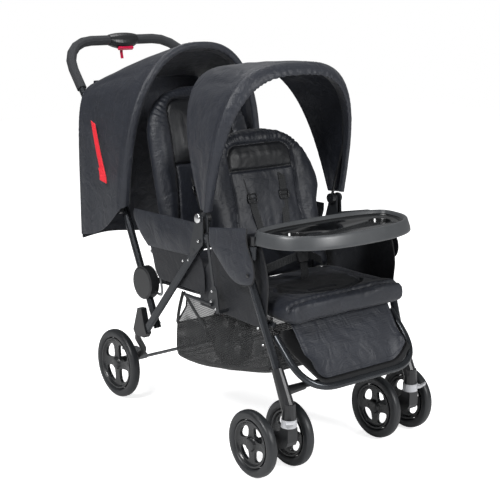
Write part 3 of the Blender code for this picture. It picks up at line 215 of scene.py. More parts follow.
def woven(name, dark, light, thread_mm, bump, roughness, sheen, crease=0.35):
    """Plain weave on Object coordinates, over soft creases, with painted shade in the weave's dips."""
    finish, tree, shader, where = new_finish(name, roughness, 0.0, Sheen_Weight=sheen, Sheen_Roughness=0.45)
    weave = crossed_waves(tree, where, thread_mm)
    dye = add(tree, "ShaderNodeTexNoise", {"Vector": where, "Scale": 1 / 0.050, "Detail": 4.0, "Roughness": 0.6})
    tone = add(tree, "ShaderNodeMix", {0: dye.outputs["Fac"], 6: linear(dark), 7: linear(light)}, data_type="RGBA")
    # painted shade: the base colour is darkened where the threads dip, and a faint painted highlight lifts their
    # crowns
    depth = add(tree, "ShaderNodeMapRange", {0: weave, 1: 0.6, 2: 2.4, 3: 0.86, 4: 1.06})
    shade = add(tree, "ShaderNodeMix", {0: 1.0, 6: tone.outputs[2], 7: depth.outputs[0]}, data_type="RGBA",
                blend_type="MULTIPLY")
    tree.links.new(shade.outputs[2], shader.inputs["Base Color"])
    # soft creases about 40 mm long lie under the weave; the distortion draws them out
    soft = add(tree, "ShaderNodeTexNoise", {"Vector": where, "Scale": 1 / 0.040, "Detail": 4.0, "Roughness": 0.50,
                                            "Distortion": 1.1})
    folds = add(tree, "ShaderNodeBump", {"Strength": crease, "Distance": 0.0040, "Height": soft.outputs["Fac"]})
    raised = add(tree, "ShaderNodeBump", {"Strength": bump, "Distance": 0.0004, "Height": weave,
                                          "Normal": folds.outputs[0]})
    tree.links.new(raised.outputs[0], shader.inputs["Normal"])
    return finish


canopy_cloth = woven("woven_polyester_canopy", "#161922", "#22262F", 2.2, 0.22, 0.50, 0.09, 0.80)
seat_cloth = woven("woven_polyester_seat", "#14171F", "#1F232C", 2.2, 0.20, 0.52, 0.07, 0.70)
panel_cloth = woven("brushed_seat_panel", "#0A0C10", "#101318", 1.8, 0.16, 0.50, 0.04, 0.50)
dark_cloth = woven("black_binding_cloth", "#121315", "#1A1B1E", 2.0, 0.30, 0.80, 0.06)
lining_cloth = woven("canopy_lining", "#121418", "#1B1D23", 2.2, 0.22, 0.60, 0.05, 0.60)
webbing = woven("harness_webbing", "#17181A", "#232527", 3.0, 0.70, 0.74, 0.08, 0.05)
ribbon_cloth = woven("red_ribbon", "#D5162A", "#E8202F", 2.0, 0.45, 0.62, 0.10, 0.10)
print("cloth finishes:", canopy_cloth.name, seat_cloth.name, dark_cloth.name)

# %% [markdown]
# The pieces that the CAD already has right keep their shape and get a finish. The record's slot names say
# what each is made of, so one table dresses them all.

# %% Dress the carried-over pieces
FINISH_OF_SLOT = {"gunmetal_tube": tube_coat, "painted_plate": plate_coat, "bright_steel": zinc,
                  "matt_plastic": nylon, "pale_grey_plastic": grey_nylon, "foam_tyre": tyre_foam,
                  "foam_grip": grip_foam, "charcoal_fabric": seat_cloth, "basket_mesh": dark_cloth,
                  "red_ribbon": crimson}
slot_of = {row["node"]: row["material_slot"] for row in frame["record"]["subparts"]}
for name, piece in nodes.items():
    piece.data.materials.clear()
    piece.data.materials.append(FINISH_OF_SLOT[slot_of[name]])
print("dressed", len(nodes), "pieces in", len(set(slot_of.values())), "finishes")

# %% [markdown]
# Modelling helpers. A piece starts as a primitive, its points are placed in code as a modeller would pull
# them, and live modifiers finish it and are applied. Side-view sizes are typed as (y, z) with y from the
# middle of the wheelbase, so one helper moves a finished mesh back by SHIFT.

# %% Modelling helpers
MERGE = 0.00005   # points closer than this, in metres, are one point


def deselect():
    if bpy.context.object and bpy.context.object.mode != "OBJECT":
        bpy.ops.object.mode_set(mode="OBJECT")
    bpy.ops.object.select_all(action="DESELECT")


def choose(piece):
    """Only this piece selected and active."""
    deselect()
    piece.select_set(True)
    bpy.context.view_layer.objects.active = piece


def apply_modifiers(piece):
    choose(piece)
    for modifier in list(piece.modifiers):
        bpy.ops.object.modifier_apply(modifier=modifier.name)


def tidy(piece):
    """Doubles merged, then faces turned outwards."""
    choose(piece)
    bpy.ops.object.mode_set(mode="EDIT")
    bpy.ops.mesh.select_all(action="SELECT")
    bpy.ops.mesh.remove_doubles(threshold=MERGE)
    bpy.ops.mesh.normals_make_consistent(inside=False)
    bpy.ops.object.mode_set(mode="OBJECT")


def wear(piece, name, finish, body, slot, smooth=40.0, shifted=True):
    """Name, finish, shading and body of a finished piece; its place goes into its mesh."""
    if shifted:
        piece.data.transform(Matrix.Translation((0.0, -SHIFT, 0.0)))
    piece.name = name
    piece.data.materials.clear()
    piece.data.materials.append(finish)
    choose(piece)
    bpy.ops.object.shade_smooth_by_angle(angle=math.radians(smooth))
    if body:
        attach(piece, body)
    return piece


def pull(piece, place):
    """Every point of a mesh is put where place(x, y, z) says."""
    for vertex in piece.data.vertices:
        vertex.co = place(*vertex.co)


def grid(across, along, place):
    """A primitive grid whose points are put where place(u, v) says, u and v from -1 to 1."""
    deselect()
    bpy.ops.mesh.primitive_grid_add(x_subdivisions=across, y_subdivisions=along, size=2)
    piece = bpy.context.object
    pull(piece, lambda u, v, w: place(u, v))
    return piece


def cut_away(piece, cutter):
    """The cutter's shape is taken out of the piece."""
    cut = piece.modifiers.new("cut", "BOOLEAN")
    cut.operation, cut.solver, cut.object = "DIFFERENCE", "EXACT", cutter
    apply_modifiers(piece)


def soften(piece, width, segments=2, angle=None):
    """Edges rounded; with an angle in degrees, only those that are sharper."""
    soft = piece.modifiers.new("soft edges", "BEVEL")
    soft.width, soft.segments = width, segments
    if angle:
        soft.limit_method, soft.angle_limit = "ANGLE", math.radians(angle)
    apply_modifiers(piece)


def give_thickness(piece, thickness, offset=-1.0, rounding=1):
    """Cloth gets its thickness inwards from the outer face, and soft edges."""
    tidy(piece)
    solid = piece.modifiers.new("thickness", "SOLIDIFY")
    solid.thickness, solid.offset, solid.use_even_offset = thickness, offset, False
    if rounding:
        soft = piece.modifiers.new("rounding", "SUBSURF")
        soft.levels = soft.render_levels = rounding
    apply_modifiers(piece)
    return piece


def spline(points, t):
    """A point at t from 0 to 1 along a smooth curve through the points, spaced by length."""
    points = [np.array([*p, 0.0] if len(p) == 2 else p, float) for p in points]
    lengths = [float(np.linalg.norm(b - a)) for a, b in zip(points, points[1:])]
    at, i = t * sum(lengths), 0
    while i < len(lengths) - 1 and at > lengths[i]:
        at -= lengths[i]
        i += 1
    s = min(1.0, at / lengths[i])
    p1, p2 = points[i], points[i + 1]
    p0 = points[i - 1] if i else 2 * p1 - p2
    p3 = points[i + 2] if i + 2 < len(points) else 2 * p2 - p1
    m1, m2 = (p2 - p0) / 2, (p3 - p1) / 2
    return Vector((2 * s**3 - 3 * s**2 + 1) * p1 + (s**3 - 2 * s**2 + s) * m1
                  + (-2 * s**3 + 3 * s**2) * p2 + (s**3 - s**2) * m2)


def tube(points, radius, sides=20, smooth_path=False):
    """A curve through the points with a round section and filled ends, made a mesh."""
    deselect()
    bpy.ops.curve.primitive_nurbs_path_add()
    piece = bpy.context.object
    piece.data.splines.clear()
    line = piece.data.splines.new("POLY")
    if smooth_path:
        steps = 8 * (len(points) - 1)
        points = [spline(points, i / steps) for i in range(steps + 1)]
    line.points.add(len(points) - 1)
    for point, place in zip(line.points, points):
        point.co = (*place, 1.0)
    piece.data.dimensions = "3D"
    piece.data.bevel_depth = radius
    piece.data.bevel_resolution = sides // 4
    piece.data.use_fill_caps = True
    choose(piece)
    bpy.ops.object.convert(target="MESH")
    piece = bpy.context.object
    tidy(piece)
    return piece


def join(pieces):
    """Several finished pieces as one mesh."""
    choose(pieces[0])
    for piece in pieces[1:]:
        piece.select_set(True)
    bpy.ops.object.join()
    return bpy.context.object


def wobble(place, size, seed=0.0):
    """Smooth repeatable noise between about -1 and 1, with lumps of a given size in metres."""
    return noise.noise(Vector(place) / size + Vector((seed, seed * 1.7, seed * 0.3)))


def step(low, high, value):
    t = min(1.0, max(0.0, (value - low) / (high - low)))
    return t * t * (3 - 2 * t)


def seam(distance, width, depth):
    """How far a line of stitches pulls the cover in at a distance from it."""
    return depth * math.exp(-(distance / width) ** 2)


print("helpers ready")

# %% [markdown]
# The hoods. On the real stroller each is one panel of cloth sewn over a bent bow, from an arch at the back
# to a wider arch in front, and its front hem is a padded band that is gathered on its inner edge. An arch
# is a superellipse, so a few numbers place it: half width, height, squareness, lean, and its foot. The
# panel is one grid that runs from the back edge over the top, round the band and back inside.

# %% Hood helper
FRONT_REAR_EDGE = (0.233, 0.396, 2.85, -21.5, -0.080, 0.656)
FRONT_HEM = (0.254, 0.396, 3.2, 9.75, -0.125, 0.656)
FRONT_LIP = (0.229, 0.362, 3.0, 14.0, -0.129, 0.660)
REAR_EDGE = (0.254, 0.468, 8.0, 0.0, 0.512, 0.492)
REAR_HEM = (0.262, 0.478, 2.45, 5.3, 0.277, 0.607)
REAR_LIP = (0.230, 0.442, 2.5, 5.3, 0.269, 0.620)


def arch(shape, s, inset=0.0):
    """A point on an arch, s from -1 at the right foot over the top to 1 at the left foot."""
    half, height, power, lean, y, z = shape
    angle = math.pi / 2 * (1 + s)
    c, n = math.cos(angle), max(0.0, math.sin(angle))
    rise = (height - inset) * n ** (2 / power)
    tilt = math.radians(lean)
    return Vector((-(half - inset) * math.copysign(abs(c) ** (2 / power), c),
                   y - rise * math.sin(tilt), z + rise * math.cos(tilt)))


def even(s):
    """Spreads the grid lines so that the arch's feet and shoulders both get enough of them."""
    return s * (1 - 0.18 * (1 - s * s))


PANEL_END, BAND_END = 0.62, 0.86   # shares of the sheet's run: outside, then the padded band, then inside
ACROSS, ALONG = 176, 52            # faces from foot to foot, and from the back edge round to the inside


def gathers(s):
    """Small ripples where the band is gathered."""
    return math.sin(s * 150 + 5 * wobble((s * 2, 0, 0), 0.3)) * 0.0009


def hood(rear, hem, lip, crown, folds, skirt=0.0):
    """The whole panel as one sheet: outside, round the band, then back inside."""
    def place(u, v):
        s, t = even(u), (v + 1) / 2
        top = math.cos(u * math.pi / 2)
        if t < PANEL_END:
            k = t / PANEL_END
            point = arch(rear, s, 0.001).lerp(arch(hem, s, 0.001), k)
            centre = arch(rear, s, 0.05).lerp(arch(hem, s, 0.05), k)
            out = (point - centre).normalized()
            slack = math.sin(math.pi * k)
            # between the feet the panel's free edge hangs in a curve
            low = skirt * math.sin(math.pi * k) * step(0.72, 1.0, abs(u))
            point += Vector((0, -0.25 * low, crown * 4 * k * (1 - k) * top - low))
            # long soft folds fan out from the feet, and small ones pucker at the seam and the back edge
            fan = (wobble((s * 1.4, k * 0.25, 0.0), 0.22, 3.0)
                   + 0.45 * wobble((s * 1.6, k * 0.5, 4.0), 0.10, 8.0)) * folds
            pucker = wobble((s * 3.2, k * 0.3, 1.0), 0.05, 7.0) * 0.0011
            pucker *= seam(k - 1, 0.14, 1) + seam(k, 0.10, 1)
            return point + out * (slack * fan + pucker - seam(k - 0.965, 0.020, 0.0032)
                                  - seam(k - 0.05, 0.02, 0.001))
        if t < BAND_END:
            k = (t - PANEL_END) / (BAND_END - PANEL_END)
            point = arch(hem, s, 0.001).lerp(arch(lip, s), k)
            puff = math.sin(math.pi * k) ** 0.7
            gather = gathers(s) * step(0.35, 0.95, k)
            pinch = wobble((s * 5, k * 0.6, 2.0), 0.09, 5.0) * 0.0016
            return point + Vector((0, -0.0075 * puff - gather + pinch * puff,
                                   gather * top + 0.0015 * puff * top))
        k = (t - BAND_END) / (1 - BAND_END)
        inside = arch(lip, s, -0.010).lerp(arch(rear, s, 0.010), 0.17)
        ripple = gathers(s) * (1 - k)
        return arch(lip, s).lerp(inside, k ** 1.2) + Vector((0, ripple, ripple * top))

    return grid(ACROSS, ALONG, place)


print("front arch top", [round(c, 3) for c in arch(FRONT_HEM, 0.0)])

# %% [markdown]
# The front hood turns with its bow about the rivet above the knee plate. Its back edge is free.

# %% Front hood
front_canopy = give_thickness(hood(FRONT_REAR_EDGE, FRONT_HEM, FRONT_LIP, 0.006, 0.0075), 0.0014, rounding=0)
wear(front_canopy, "front_canopy", canopy_cloth, "front_hood", "charcoal_fabric", 60)
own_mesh(front_canopy)
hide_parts("front_hood_cover")
print("front canopy", len(front_canopy.data.polygons), "faces")

# %% [markdown]
# The rear hood is deeper and lower. Its back edge meets the curtain that closes the back of the rear seat.

# %% Rear hood
rear_canopy = give_thickness(hood(REAR_EDGE, REAR_HEM, REAR_LIP, 0.004, 0.0060, 0.024), 0.0014, rounding=0)
wear(rear_canopy, "rear_canopy", canopy_cloth, None, "charcoal_fabric", 60)
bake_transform(rear_canopy)
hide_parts("rear_hood_cover")
print("rear canopy", len(rear_canopy.data.polygons), "faces")

# %% [markdown]
# The seat pads. A real pad is a sewn bag with a sheet of wadding in it: full in the middle, thin at the
# piping, pulled in along each line of stitches. The recipe is the same for all four: a subdivided cube is
# shaped to the pad's outline, remeshed to even faces, blown up a little as cloth under pressure, and only
# then are the seams, the gathered border and the channels pressed in.

# %% Pad helpers
PRESSURE, CLOTH_FRAMES = 4.0, 20


def pad_block(place, cuts=34):
    """A cube with even cuts whose points are put where place(u, v, w) says."""
    deselect()
    bpy.ops.mesh.primitive_cube_add(size=2)
    piece = bpy.context.object
    bpy.ops.object.mode_set(mode="EDIT")
    bpy.ops.mesh.subdivide(number_cuts=cuts)
    bpy.ops.object.mode_set(mode="OBJECT")
    pull(piece, place)
    return piece


def fullness(near, least):
    """How full a pad is: least at its edge, where near is 0, and 1 where near is 1."""
    return least + (1 - least) * math.sqrt(max(0.0, 1 - (1 - near) ** 2))


def rounded(x, a, half, top, radius):
    """Distance in from an outline with a straight foot and sides and rounded top corners."""
    dx, da = abs(x) - (half - radius), a - (top - radius)
    if dx > 0 and da > 0:
        return radius - math.hypot(dx, da)
    return min(half - abs(x), top - a)


def inflate(piece, voxel, cap):
    """Even faces, then cloth under pressure, with every point's travel capped."""
    even_faces = piece.modifiers.new("even faces", "REMESH")
    even_faces.mode, even_faces.voxel_size = "VOXEL", voxel
    apply_modifiers(piece)
    before = np.array([v.co for v in piece.data.vertices])
    cloth = piece.modifiers.new("cloth", "CLOTH")
    cloth.settings.use_pressure = True
    cloth.settings.uniform_pressure_force = PRESSURE
    cloth.settings.effector_weights.gravity = 0.0
    for number in range(1, CLOTH_FRAMES + 1):
        bpy.context.scene.frame_set(number)
    apply_modifiers(piece)
    bpy.context.scene.frame_set(1)
    after = np.array([v.co for v in piece.data.vertices])
    move = after - before
    far = np.linalg.norm(move, axis=1, keepdims=True)
    after = before + move * np.minimum(1.0, cap / np.maximum(far, 1e-9))
    piece.data.vertices.foreach_set("co", after.astype(np.float32).ravel())
    finer = piece.modifiers.new("finer", "SUBSURF")
    finer.levels = finer.render_levels = 1
    apply_modifiers(piece)
    return piece


def press(piece, change):
    """Moves each point by what change(place, normal) gives, after the pad has its final fullness."""
    mesh = piece.data
    places = [vertex.co.copy() for vertex in mesh.vertices]
    normals = [vertex.normal.copy() for vertex in mesh.vertices]
    for vertex, place, normal in zip(mesh.vertices, places, normals):
        vertex.co = place + change(place, normal)
    mesh.update()
    return piece


def patch(piece, finish, inside):
    """A second cloth on the faces for which inside(centre, normal) is true."""
    piece.data.materials.append(finish)
    for face in piece.data.polygons:
        if inside(face.center, face.normal):
            face.material_index = len(piece.data.materials) - 1


print("pad helpers ready,", "with cloth")

# %% [markdown]
# A seat back has an arched top. Its border is a separate strip, gathered by elastic so that it ripples,
# and inside it a headrest panel sits above a seam with slots, through which the shoulder straps come.

# %% Seat back helper
class Back:
    """A leaning pad: x across, a up along it from the pivot, n out of its face."""
    def __init__(self, pivot, length, lean, half, radius, thickness, border, slot_at):
        self.pivot, self.length, self.half, self.radius = Vector((0, *pivot)), length, half, radius
        tilt = math.radians(lean)
        self.up = Vector((0, math.sin(tilt), math.cos(tilt)))
        self.out = Vector((0, -math.cos(tilt), math.sin(tilt)))
        self.thickness, self.border, self.slot_at = thickness, border, slot_at

    def at(self, x, a, n):
        return self.pivot + self.up * a + self.out * n + Vector((x, 0, 0))

    def read(self, place):
        d = place - self.pivot
        return d.x, d.dot(self.up), d.dot(self.out)

    def rim(self, x, a):
        """Distance in from the outline."""
        return rounded(x, a, self.half(a / self.length), self.length, self.radius)

    def inside(self, x, a):
        """Distance in from the seam round the middle."""
        half = 0.112 + 0.02 * step(0.5, 0.1, a / self.length)
        return rounded(x, a, half, self.length - self.border, 0.036)

    def block(self, u, v, w):
        a = self.length * (v + 1) / 2
        h, r = self.half(a / self.length), self.radius
        over = min(r, max(0.0, a - (self.length - r)))
        width = h - r + math.sqrt(max(0.0, r * r - over * over))
        x = u * width
        near = min(1.0, max(0.0, min(self.rim(x, a), a + 0.004)) / 0.035)
        full = fullness(near, 0.35)
        return self.at(x, a, w * full * self.thickness / 2 * (1.0 if w > 0 else 0.8))

    def sew(self, place, normal):
        x, a, n = self.read(place)
        face = step(-0.1, 0.6, normal.dot(self.out)) * step(0.0, 0.03, a + 0.01)
        edge = step(-0.75, 0.3, normal.dot(self.out))
        d, m = self.rim(x, a), self.inside(x, a)
        top = step(0.45, 0.8, a / self.length)
        puff = 0.008 * math.sin(math.pi * min(1.0, max(0.0, d / (d - m + 1e-6)))) if m < 0 < d else 0.0
        angle = math.atan2(a - (self.length - self.radius), x)
        run = angle * 0.17 + a * 0.6 * (1 - top)
        ruffle = math.sin(run * 2 * math.pi / 0.015 + 9 * wobble((x, a, 0), 0.05, 2.0))
        loose = 0.30 + 0.70 * step(-0.25, 0.45, wobble((x, a, 0), 0.09, 6.0))
        near_seam = seam(m + 0.012, 0.020, 1) * (1 - 0.5 * top) + seam(d - 0.012, 0.022, 1) * top
        gather = (0.0012 + 0.0012 * top) * loose * ruffle * near_seam
        gather *= step(-0.01, 0.006, d) * step(0.002, -0.004, m)
        pull = seam(m, 0.0042, 0.0058)
        inner = step(-0.002, 0.010, m)
        pull += inner * seam(a - self.slot_at - 0.1 * x * x, 0.0042, 0.0064)
        crown = inner * 0.007 * step(self.slot_at, self.slot_at + 0.05, a) * step(0.0, 0.04, m)
        belly = inner * 0.004 * (1 - step(self.slot_at - 0.05, self.slot_at, a)) * step(0.0, 0.05, m)
        soft = 0.0034 * wobble((x, a, n), 0.075, 9.0) + 0.0013 * wobble((x * 1.6, a * 0.8, n), 0.030, 4.0)
        return self.out * (face * (puff - pull + crown + belly) + edge * (gather + soft))

    def panel(self, centre, normal):
        x, a, _ = self.read(centre)
        return normal.dot(self.out) > 0.2 and self.inside(x, a) > 0 and a > self.slot_at


def make_back(back, name, node, body):
    piece = inflate(pad_block(back.block), 0.0066, 0.006)
    press(piece, back.sew)
    wear(piece, name, seat_cloth, body, "charcoal_fabric", 80)
    patch(piece, panel_cloth, lambda centre, normal: back.panel(centre + Vector((0, SHIFT, 0)), normal))
    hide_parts(node)
    behind = back.at(0, 0.2, -back.thickness * 0.4) - Vector((0, SHIFT, 0))
    tuple(back.out)
    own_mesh(piece)
    print(name, len(piece.data.polygons), "faces")
    return piece


# %% [markdown]
# The front back stands between the knee plates, so its foot is 36 mm narrower than its shoulders.

# %% Both seat backs
front_back = Back((-0.1185, 0.4385), 0.431, 16.0, lambda t: 0.198 + 0.018 * step(0.44, 0.58, t), 0.185, 0.040,
                  0.050, 0.308)
make_back(front_back, "front_back_pad", "front_seat_back", "front_back")
rear_back = Back((0.158, 0.4715), 0.498, 14.5, lambda t: 0.186, 0.150, 0.040, 0.046, 0.262)
make_back(rear_back, "rear_back_pad", "rear_seat_back", "rear_back")

# %% [markdown]
# The front cushion ends in a rolled bolster over the front tube. Behind its seam the top is quilted: one
# bowed seam and one short straight one, which the legs' gap shows under the tray.

# %% Front cushion
def quilted(x, y):
    """0 on the bowed seam of the front cushion's top, and less inside it."""
    return math.hypot(x / 0.135, (y + 0.300) / 0.078) - 1


def front_cushion_block(u, v, w):
    y = -0.433 + 0.307 * (v + 1) / 2
    corner = 1 - 0.030 * max(0.0, -v - 0.80) / 0.20 - 0.05 * max(0.0, v - 0.7) / 0.3
    full = fullness(min(1.0, (1 - max(abs(u), abs(v) * 0.98)) / 0.16), 0.42)
    bolster = 0.004 * seam(v + 0.83, 0.18, 1)
    z = 0.4245 + (0.0245 * full + bolster if w > 0 else -0.0215 * full) * abs(w)
    return Vector((u * 0.2085 * corner, y, z))


def front_cushion_sew(place, normal):
    x, y, z = place
    top = step(0.0, 0.6, normal.z)
    front = step(-0.3, 0.5, -normal.y) * (1 - step(-0.40, -0.37, y))
    roll = -0.400 - 0.010 * (x / 0.2) ** 2
    pull = seam(y - roll, 0.0055, 0.0110)
    bow = quilted(x, y)
    pull += seam(bow, 0.060, 0.0080) * step(0.270, 0.290, -y)
    pull += seam(y + 0.338, 0.0050, 0.0065) * (1 - step(0.045, 0.055, abs(x + 0.020)))
    pull += seam(abs(x) - 0.150, 0.006, 0.0040) * step(-0.38, -0.36, y)
    pinch = math.sin(x * 2 * math.pi / 0.021 + 8 * wobble((x, 0, 0), 0.06, 1.0)) * 0.0009
    pinch *= seam(y - roll, 0.020, 1) + 0.6 * seam(bow, 0.14, 1)
    soft = 0.0034 * wobble((x, y, z), 0.075, 6.0) + 0.0012 * wobble((x, y, z), 0.028, 8.0)
    return Vector((0, -front * soft, top * (0.004 - pull + pinch + soft)))


front_cushion = inflate(pad_block(front_cushion_block), 0.0062, 0.005)
press(front_cushion, front_cushion_sew)
wear(front_cushion, "front_cushion_pad", seat_cloth, "front_frame", "charcoal_fabric", 80)
patch(front_cushion, panel_cloth, lambda centre, normal: normal.z > 0.3 and quilted(centre.x, centre.y + SHIFT) < 0)
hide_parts("front_seat_cushion")
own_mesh(front_cushion)
print("front cushion", len(front_cushion.data.polygons), "faces")

# %% [markdown]
# The rear cushion is narrower, between the push tubes, and flatter.

# %% Rear cushion
def rear_cushion_block(u, v, w):
    y = -0.064 + 0.225 * (v + 1) / 2
    corner = 1 - 0.06 * max(0.0, abs(v) - 0.7) / 0.3
    full = fullness(min(1.0, (1 - max(abs(u), abs(v) * 0.98)) / 0.18), 0.42)
    z = 0.4470 + (0.0270 * full if w > 0 else -0.0240 * full) * abs(w)
    return Vector((u * 0.1775 * corner, y, z))


def rear_cushion_sew(place, normal):
    x, y, z = place
    top = step(0.0, 0.6, normal.z)
    pull = seam(y + 0.020, 0.0055, 0.0085) + seam(abs(x) - 0.120, 0.006, 0.0040) * step(-0.02, 0.0, y)
    pinch = math.sin(x * 2 * math.pi / 0.017 + 5 * wobble((x, 0, 0), 0.07, 1.0)) * 0.0011 * seam(y + 0.020, 0.02, 1)
    soft = 0.0020 * wobble((x, y, z), 0.075, 2.0) + 0.0008 * wobble((x, y, z), 0.026, 5.0)
    return Vector((0, 0, top * (0.003 - pull + pinch + soft)))


rear_cushion = inflate(pad_block(rear_cushion_block, 30), 0.0062, 0.005)
press(rear_cushion, rear_cushion_sew)
wear(rear_cushion, "rear_cushion_pad", seat_cloth, "rear_base", "charcoal_fabric", 80)
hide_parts("rear_seat_cushion")
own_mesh(rear_cushion)
print("rear cushion", len(rear_cushion.data.polygons), "faces")

# %% [markdown]
# The curtain is a plain panel that hangs from the rear hood's back edge and closes the back of the rear
# seat. It is cut away at the top for the push tubes, and its hem swings a little on its own weight.

# %% Rear curtain
def curtain_place(u, v):
    t = (v + 1) / 2
    half = 0.249 - 0.052 * step(0.74, 0.79, t)
    z = 0.480 + 0.4800 * t - 0.006 * (1 - t) * math.cos(u * 5.0)
    wave = 0.0035 * math.sin(u * 7 + 1.5 * wobble((u, t, 0), 0.8)) * (1 - t) ** 1.5
    slack = 0.006 * math.cos(u * math.pi / 2) * math.sin(math.pi * t) + 0.0015 * wobble((u, t * 1.5, 0), 0.35, 4.0)
    hem = 0.0010 * (seam(t - 0.045, 0.008, 1) + seam(t - 0.715, 0.008, 1))
    tucked = 0.0075 * step(0.90, 1.0, t)
    return Vector((u * half, 0.5150 - tucked + min(0.004, wave + slack * 0.6 - hem), max(0.474, z)))


curtain = give_thickness(grid(96, 84, curtain_place), 0.0016, 0.0)
wear(curtain, "rear_curtain_panel", canopy_cloth, "push_frame", "charcoal_fabric", 60)
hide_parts("rear_curtain")
print("curtain", len(curtain.data.polygons), "faces")

# %% [markdown]
# The sides between the armrests and the seats are closed with cloth too. Each is a ruled sheet: two edges
# are typed as side-view points, the grid runs between them, and the slack bellies outwards and creases.
# The pocket flaps hang outside the armrest tubes, with a corded edge and a press button at the front.

# %% Side cloth helper
def ruled(side, rear, front, out, belly, crease, across=44, seed=0.0):
    """A sheet between two edges in side view, lying out from the middle; belly is how far it bulges."""
    def place(u, v):
        a, b = (u + 1) / 2, (1 - v) / 2
        y, z, _ = spline(front, b).lerp(spline(rear, b), a)
        free = math.sin(math.pi * a) ** 0.6 * math.sin(math.pi * b) ** 0.8
        x = out + belly * free + crease * free * wobble((y, z * 0.6, 0), 0.045, seed)
        return Vector((side * x, y, z))
    return grid(across, 44, place)


print("side cloth helper ready")

# %% [markdown]
# Each side has four sheets: the pocket flap outside the armrest tube, the front seat's side behind it, the
# skirt pocket beside the rear seat and the low strip under it. Both sides use the same edges.

# %% Pocket flaps, seat sides and their corded edges
FLAP_REAR = [(-0.152, 0.622), (-0.154, 0.580), (-0.174, 0.560), (-0.205, 0.534), (-0.232, 0.512), (-0.264, 0.495)]
FLAP_FRONT = [(-0.314, 0.645), (-0.312, 0.612), (-0.322, 0.585), (-0.338, 0.556), (-0.343, 0.524), (-0.334, 0.503),
              (-0.314, 0.495), (-0.290, 0.492)]
WALL_REAR = [(-0.128, 0.590), (-0.112, 0.520), (-0.075, 0.470), (-0.068, 0.388)]
WALL_FRONT = [(-0.316, 0.630), (-0.345, 0.565), (-0.361, 0.502), (-0.358, 0.450), (-0.352, 0.380)]
BAG_REAR = [(0.240, 0.612), (0.246, 0.594), (0.232, 0.568), (0.205, 0.538), (0.172, 0.512)]
BAG_FRONT = [(-0.062, 0.617), (-0.060, 0.592), (-0.050, 0.565), (-0.045, 0.540), (-0.047, 0.520)]
SEAT_REAR = [(0.166, 0.520), (0.150, 0.480), (0.139, 0.447), (0.120, 0.424)]
SEAT_FRONT = [(-0.075, 0.530), (-0.094, 0.490), (-0.098, 0.460), (-0.098, 0.424)]
WALL_OUT, BUTTON = 0.2275, 0.0055   # the seat side's distance from the middle, and the press button's radius


def cord(name, edge, out, radius):
    """A thin corded edge along a side-view line."""
    wear(tube([(out, *p) for p in edge], radius, 12, True), name, dark_cloth, "front_frame", "charcoal_fabric")


for word, side in SIDES.items():
    # the far flap's top edge has slipped down behind the tray
    slip = 0.028 if side > 0 else 0.0
    rear_line, front_line = ([(y, z - slip * step(0.53, 0.62, z)) for y, z in line]
                             for line in (FLAP_REAR, FLAP_FRONT))
    flap = ruled(side, rear_line, front_line, 0.2578, 0.0050, 0.0035, seed=1.0)
    give_thickness(flap, 0.0016, 0.0)
    wear(flap, "pocket_flap_" + word, canopy_cloth, "front_frame", "charcoal_fabric", 60)
    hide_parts("front_skirt_" + word)
    cord("pocket_flap_cord_" + word, front_line, side * 0.2588, 0.0018)
    bpy.ops.mesh.primitive_uv_sphere_add(segments=24, ring_count=12, radius=BUTTON)
    button = bpy.context.object
    pull(button, lambda x, y, z: Vector((side * (0.2638 + 0.0022 * z / BUTTON), -0.322 + x, 0.5245 + y)))
    tidy(button)
    wear(button, "press_button_" + word, nylon, "front_frame", "matt_plastic")

    wall = ruled(side, WALL_REAR, WALL_FRONT, WALL_OUT, -0.0060, 0.0030, seed=2.0)
    give_thickness(wall, 0.0016, 0.0)
    wear(wall, "front_seat_side_" + word, lining_cloth, "front_frame", "charcoal_fabric", 60)
    cord("front_seat_side_cord_" + word, WALL_FRONT, side * WALL_OUT, 0.0020)

    bag = ruled(side, BAG_REAR, BAG_FRONT, 0.2340, 0.0080, 0.0045, across=60, seed=3.0)
    give_thickness(bag, 0.0014, 0.0)
    wear(bag, "rear_skirt_pocket_" + word, seat_cloth, "rear_frame", "charcoal_fabric", 60)
    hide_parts("rear_skirt_" + word)
    low = ruled(side, SEAT_REAR, SEAT_FRONT, 0.2325, 0.0015, 0.0014, across=56, seed=4.0)
    give_thickness(low, 0.0014, 0.0)
    wear(low, "rear_seat_side_" + word, lining_cloth, "rear_frame", "charcoal_fabric", 60)
print("side cloth on both sides")

# %% [markdown]
# The basket is a bag of open knitted mesh slung between the legs. Real holes are about 2 mm; they are
# drawn 5 mm apart so that they show, as an alpha pattern on the cloth, and bindings of solid tape edge it.

# %% Basket
NET_PATH = [(0.104, 0.288), (0.111, 0.230), (0.111, 0.186), (0.085, 0.1735), (0.000, 0.178), (-0.128, 0.197),
            (-0.286, 0.233), (-0.320, 0.264), (-0.329, 0.380)]
NET_TOP = [(0.1035, 0.289), (0.060, 0.344), (0.030, 0.3825), (-0.187, 0.3825), (-0.3295, 0.381)]

net, net_tree, net_shader, net_where = new_finish("knitted_basket_mesh", 0.80, 0.0, Sheen_Weight=0.10)
net_knit = crossed_waves(net_tree, net_where, 2.6, Distortion=0.6, Detail=1.0)
net_open = add(net_tree, "ShaderNodeMapRange", {0: net_knit, 1: 0.9, 2: 1.5, 3: 0.74, 4: 1.0})
net_tree.links.new(net_open.outputs[0], net_shader.inputs["Alpha"])
net_dye = add(net_tree, "ShaderNodeTexNoise", {"Vector": net_where, "Scale": 1 / 0.05, "Detail": 4.0})
net_tone = add(net_tree, "ShaderNodeMix", {0: net_dye.outputs["Fac"], 6: linear("#0E0F11"), 7: linear("#191B1D")},
               data_type="RGBA")
net_tree.links.new(net_tone.outputs[2], net_shader.inputs["Base Color"])
net_raised = add(net_tree, "ShaderNodeBump", {"Strength": 0.5, "Distance": 0.0006, "Height": net_knit})
net_tree.links.new(net_raised.outputs[0], net_shader.inputs["Normal"])

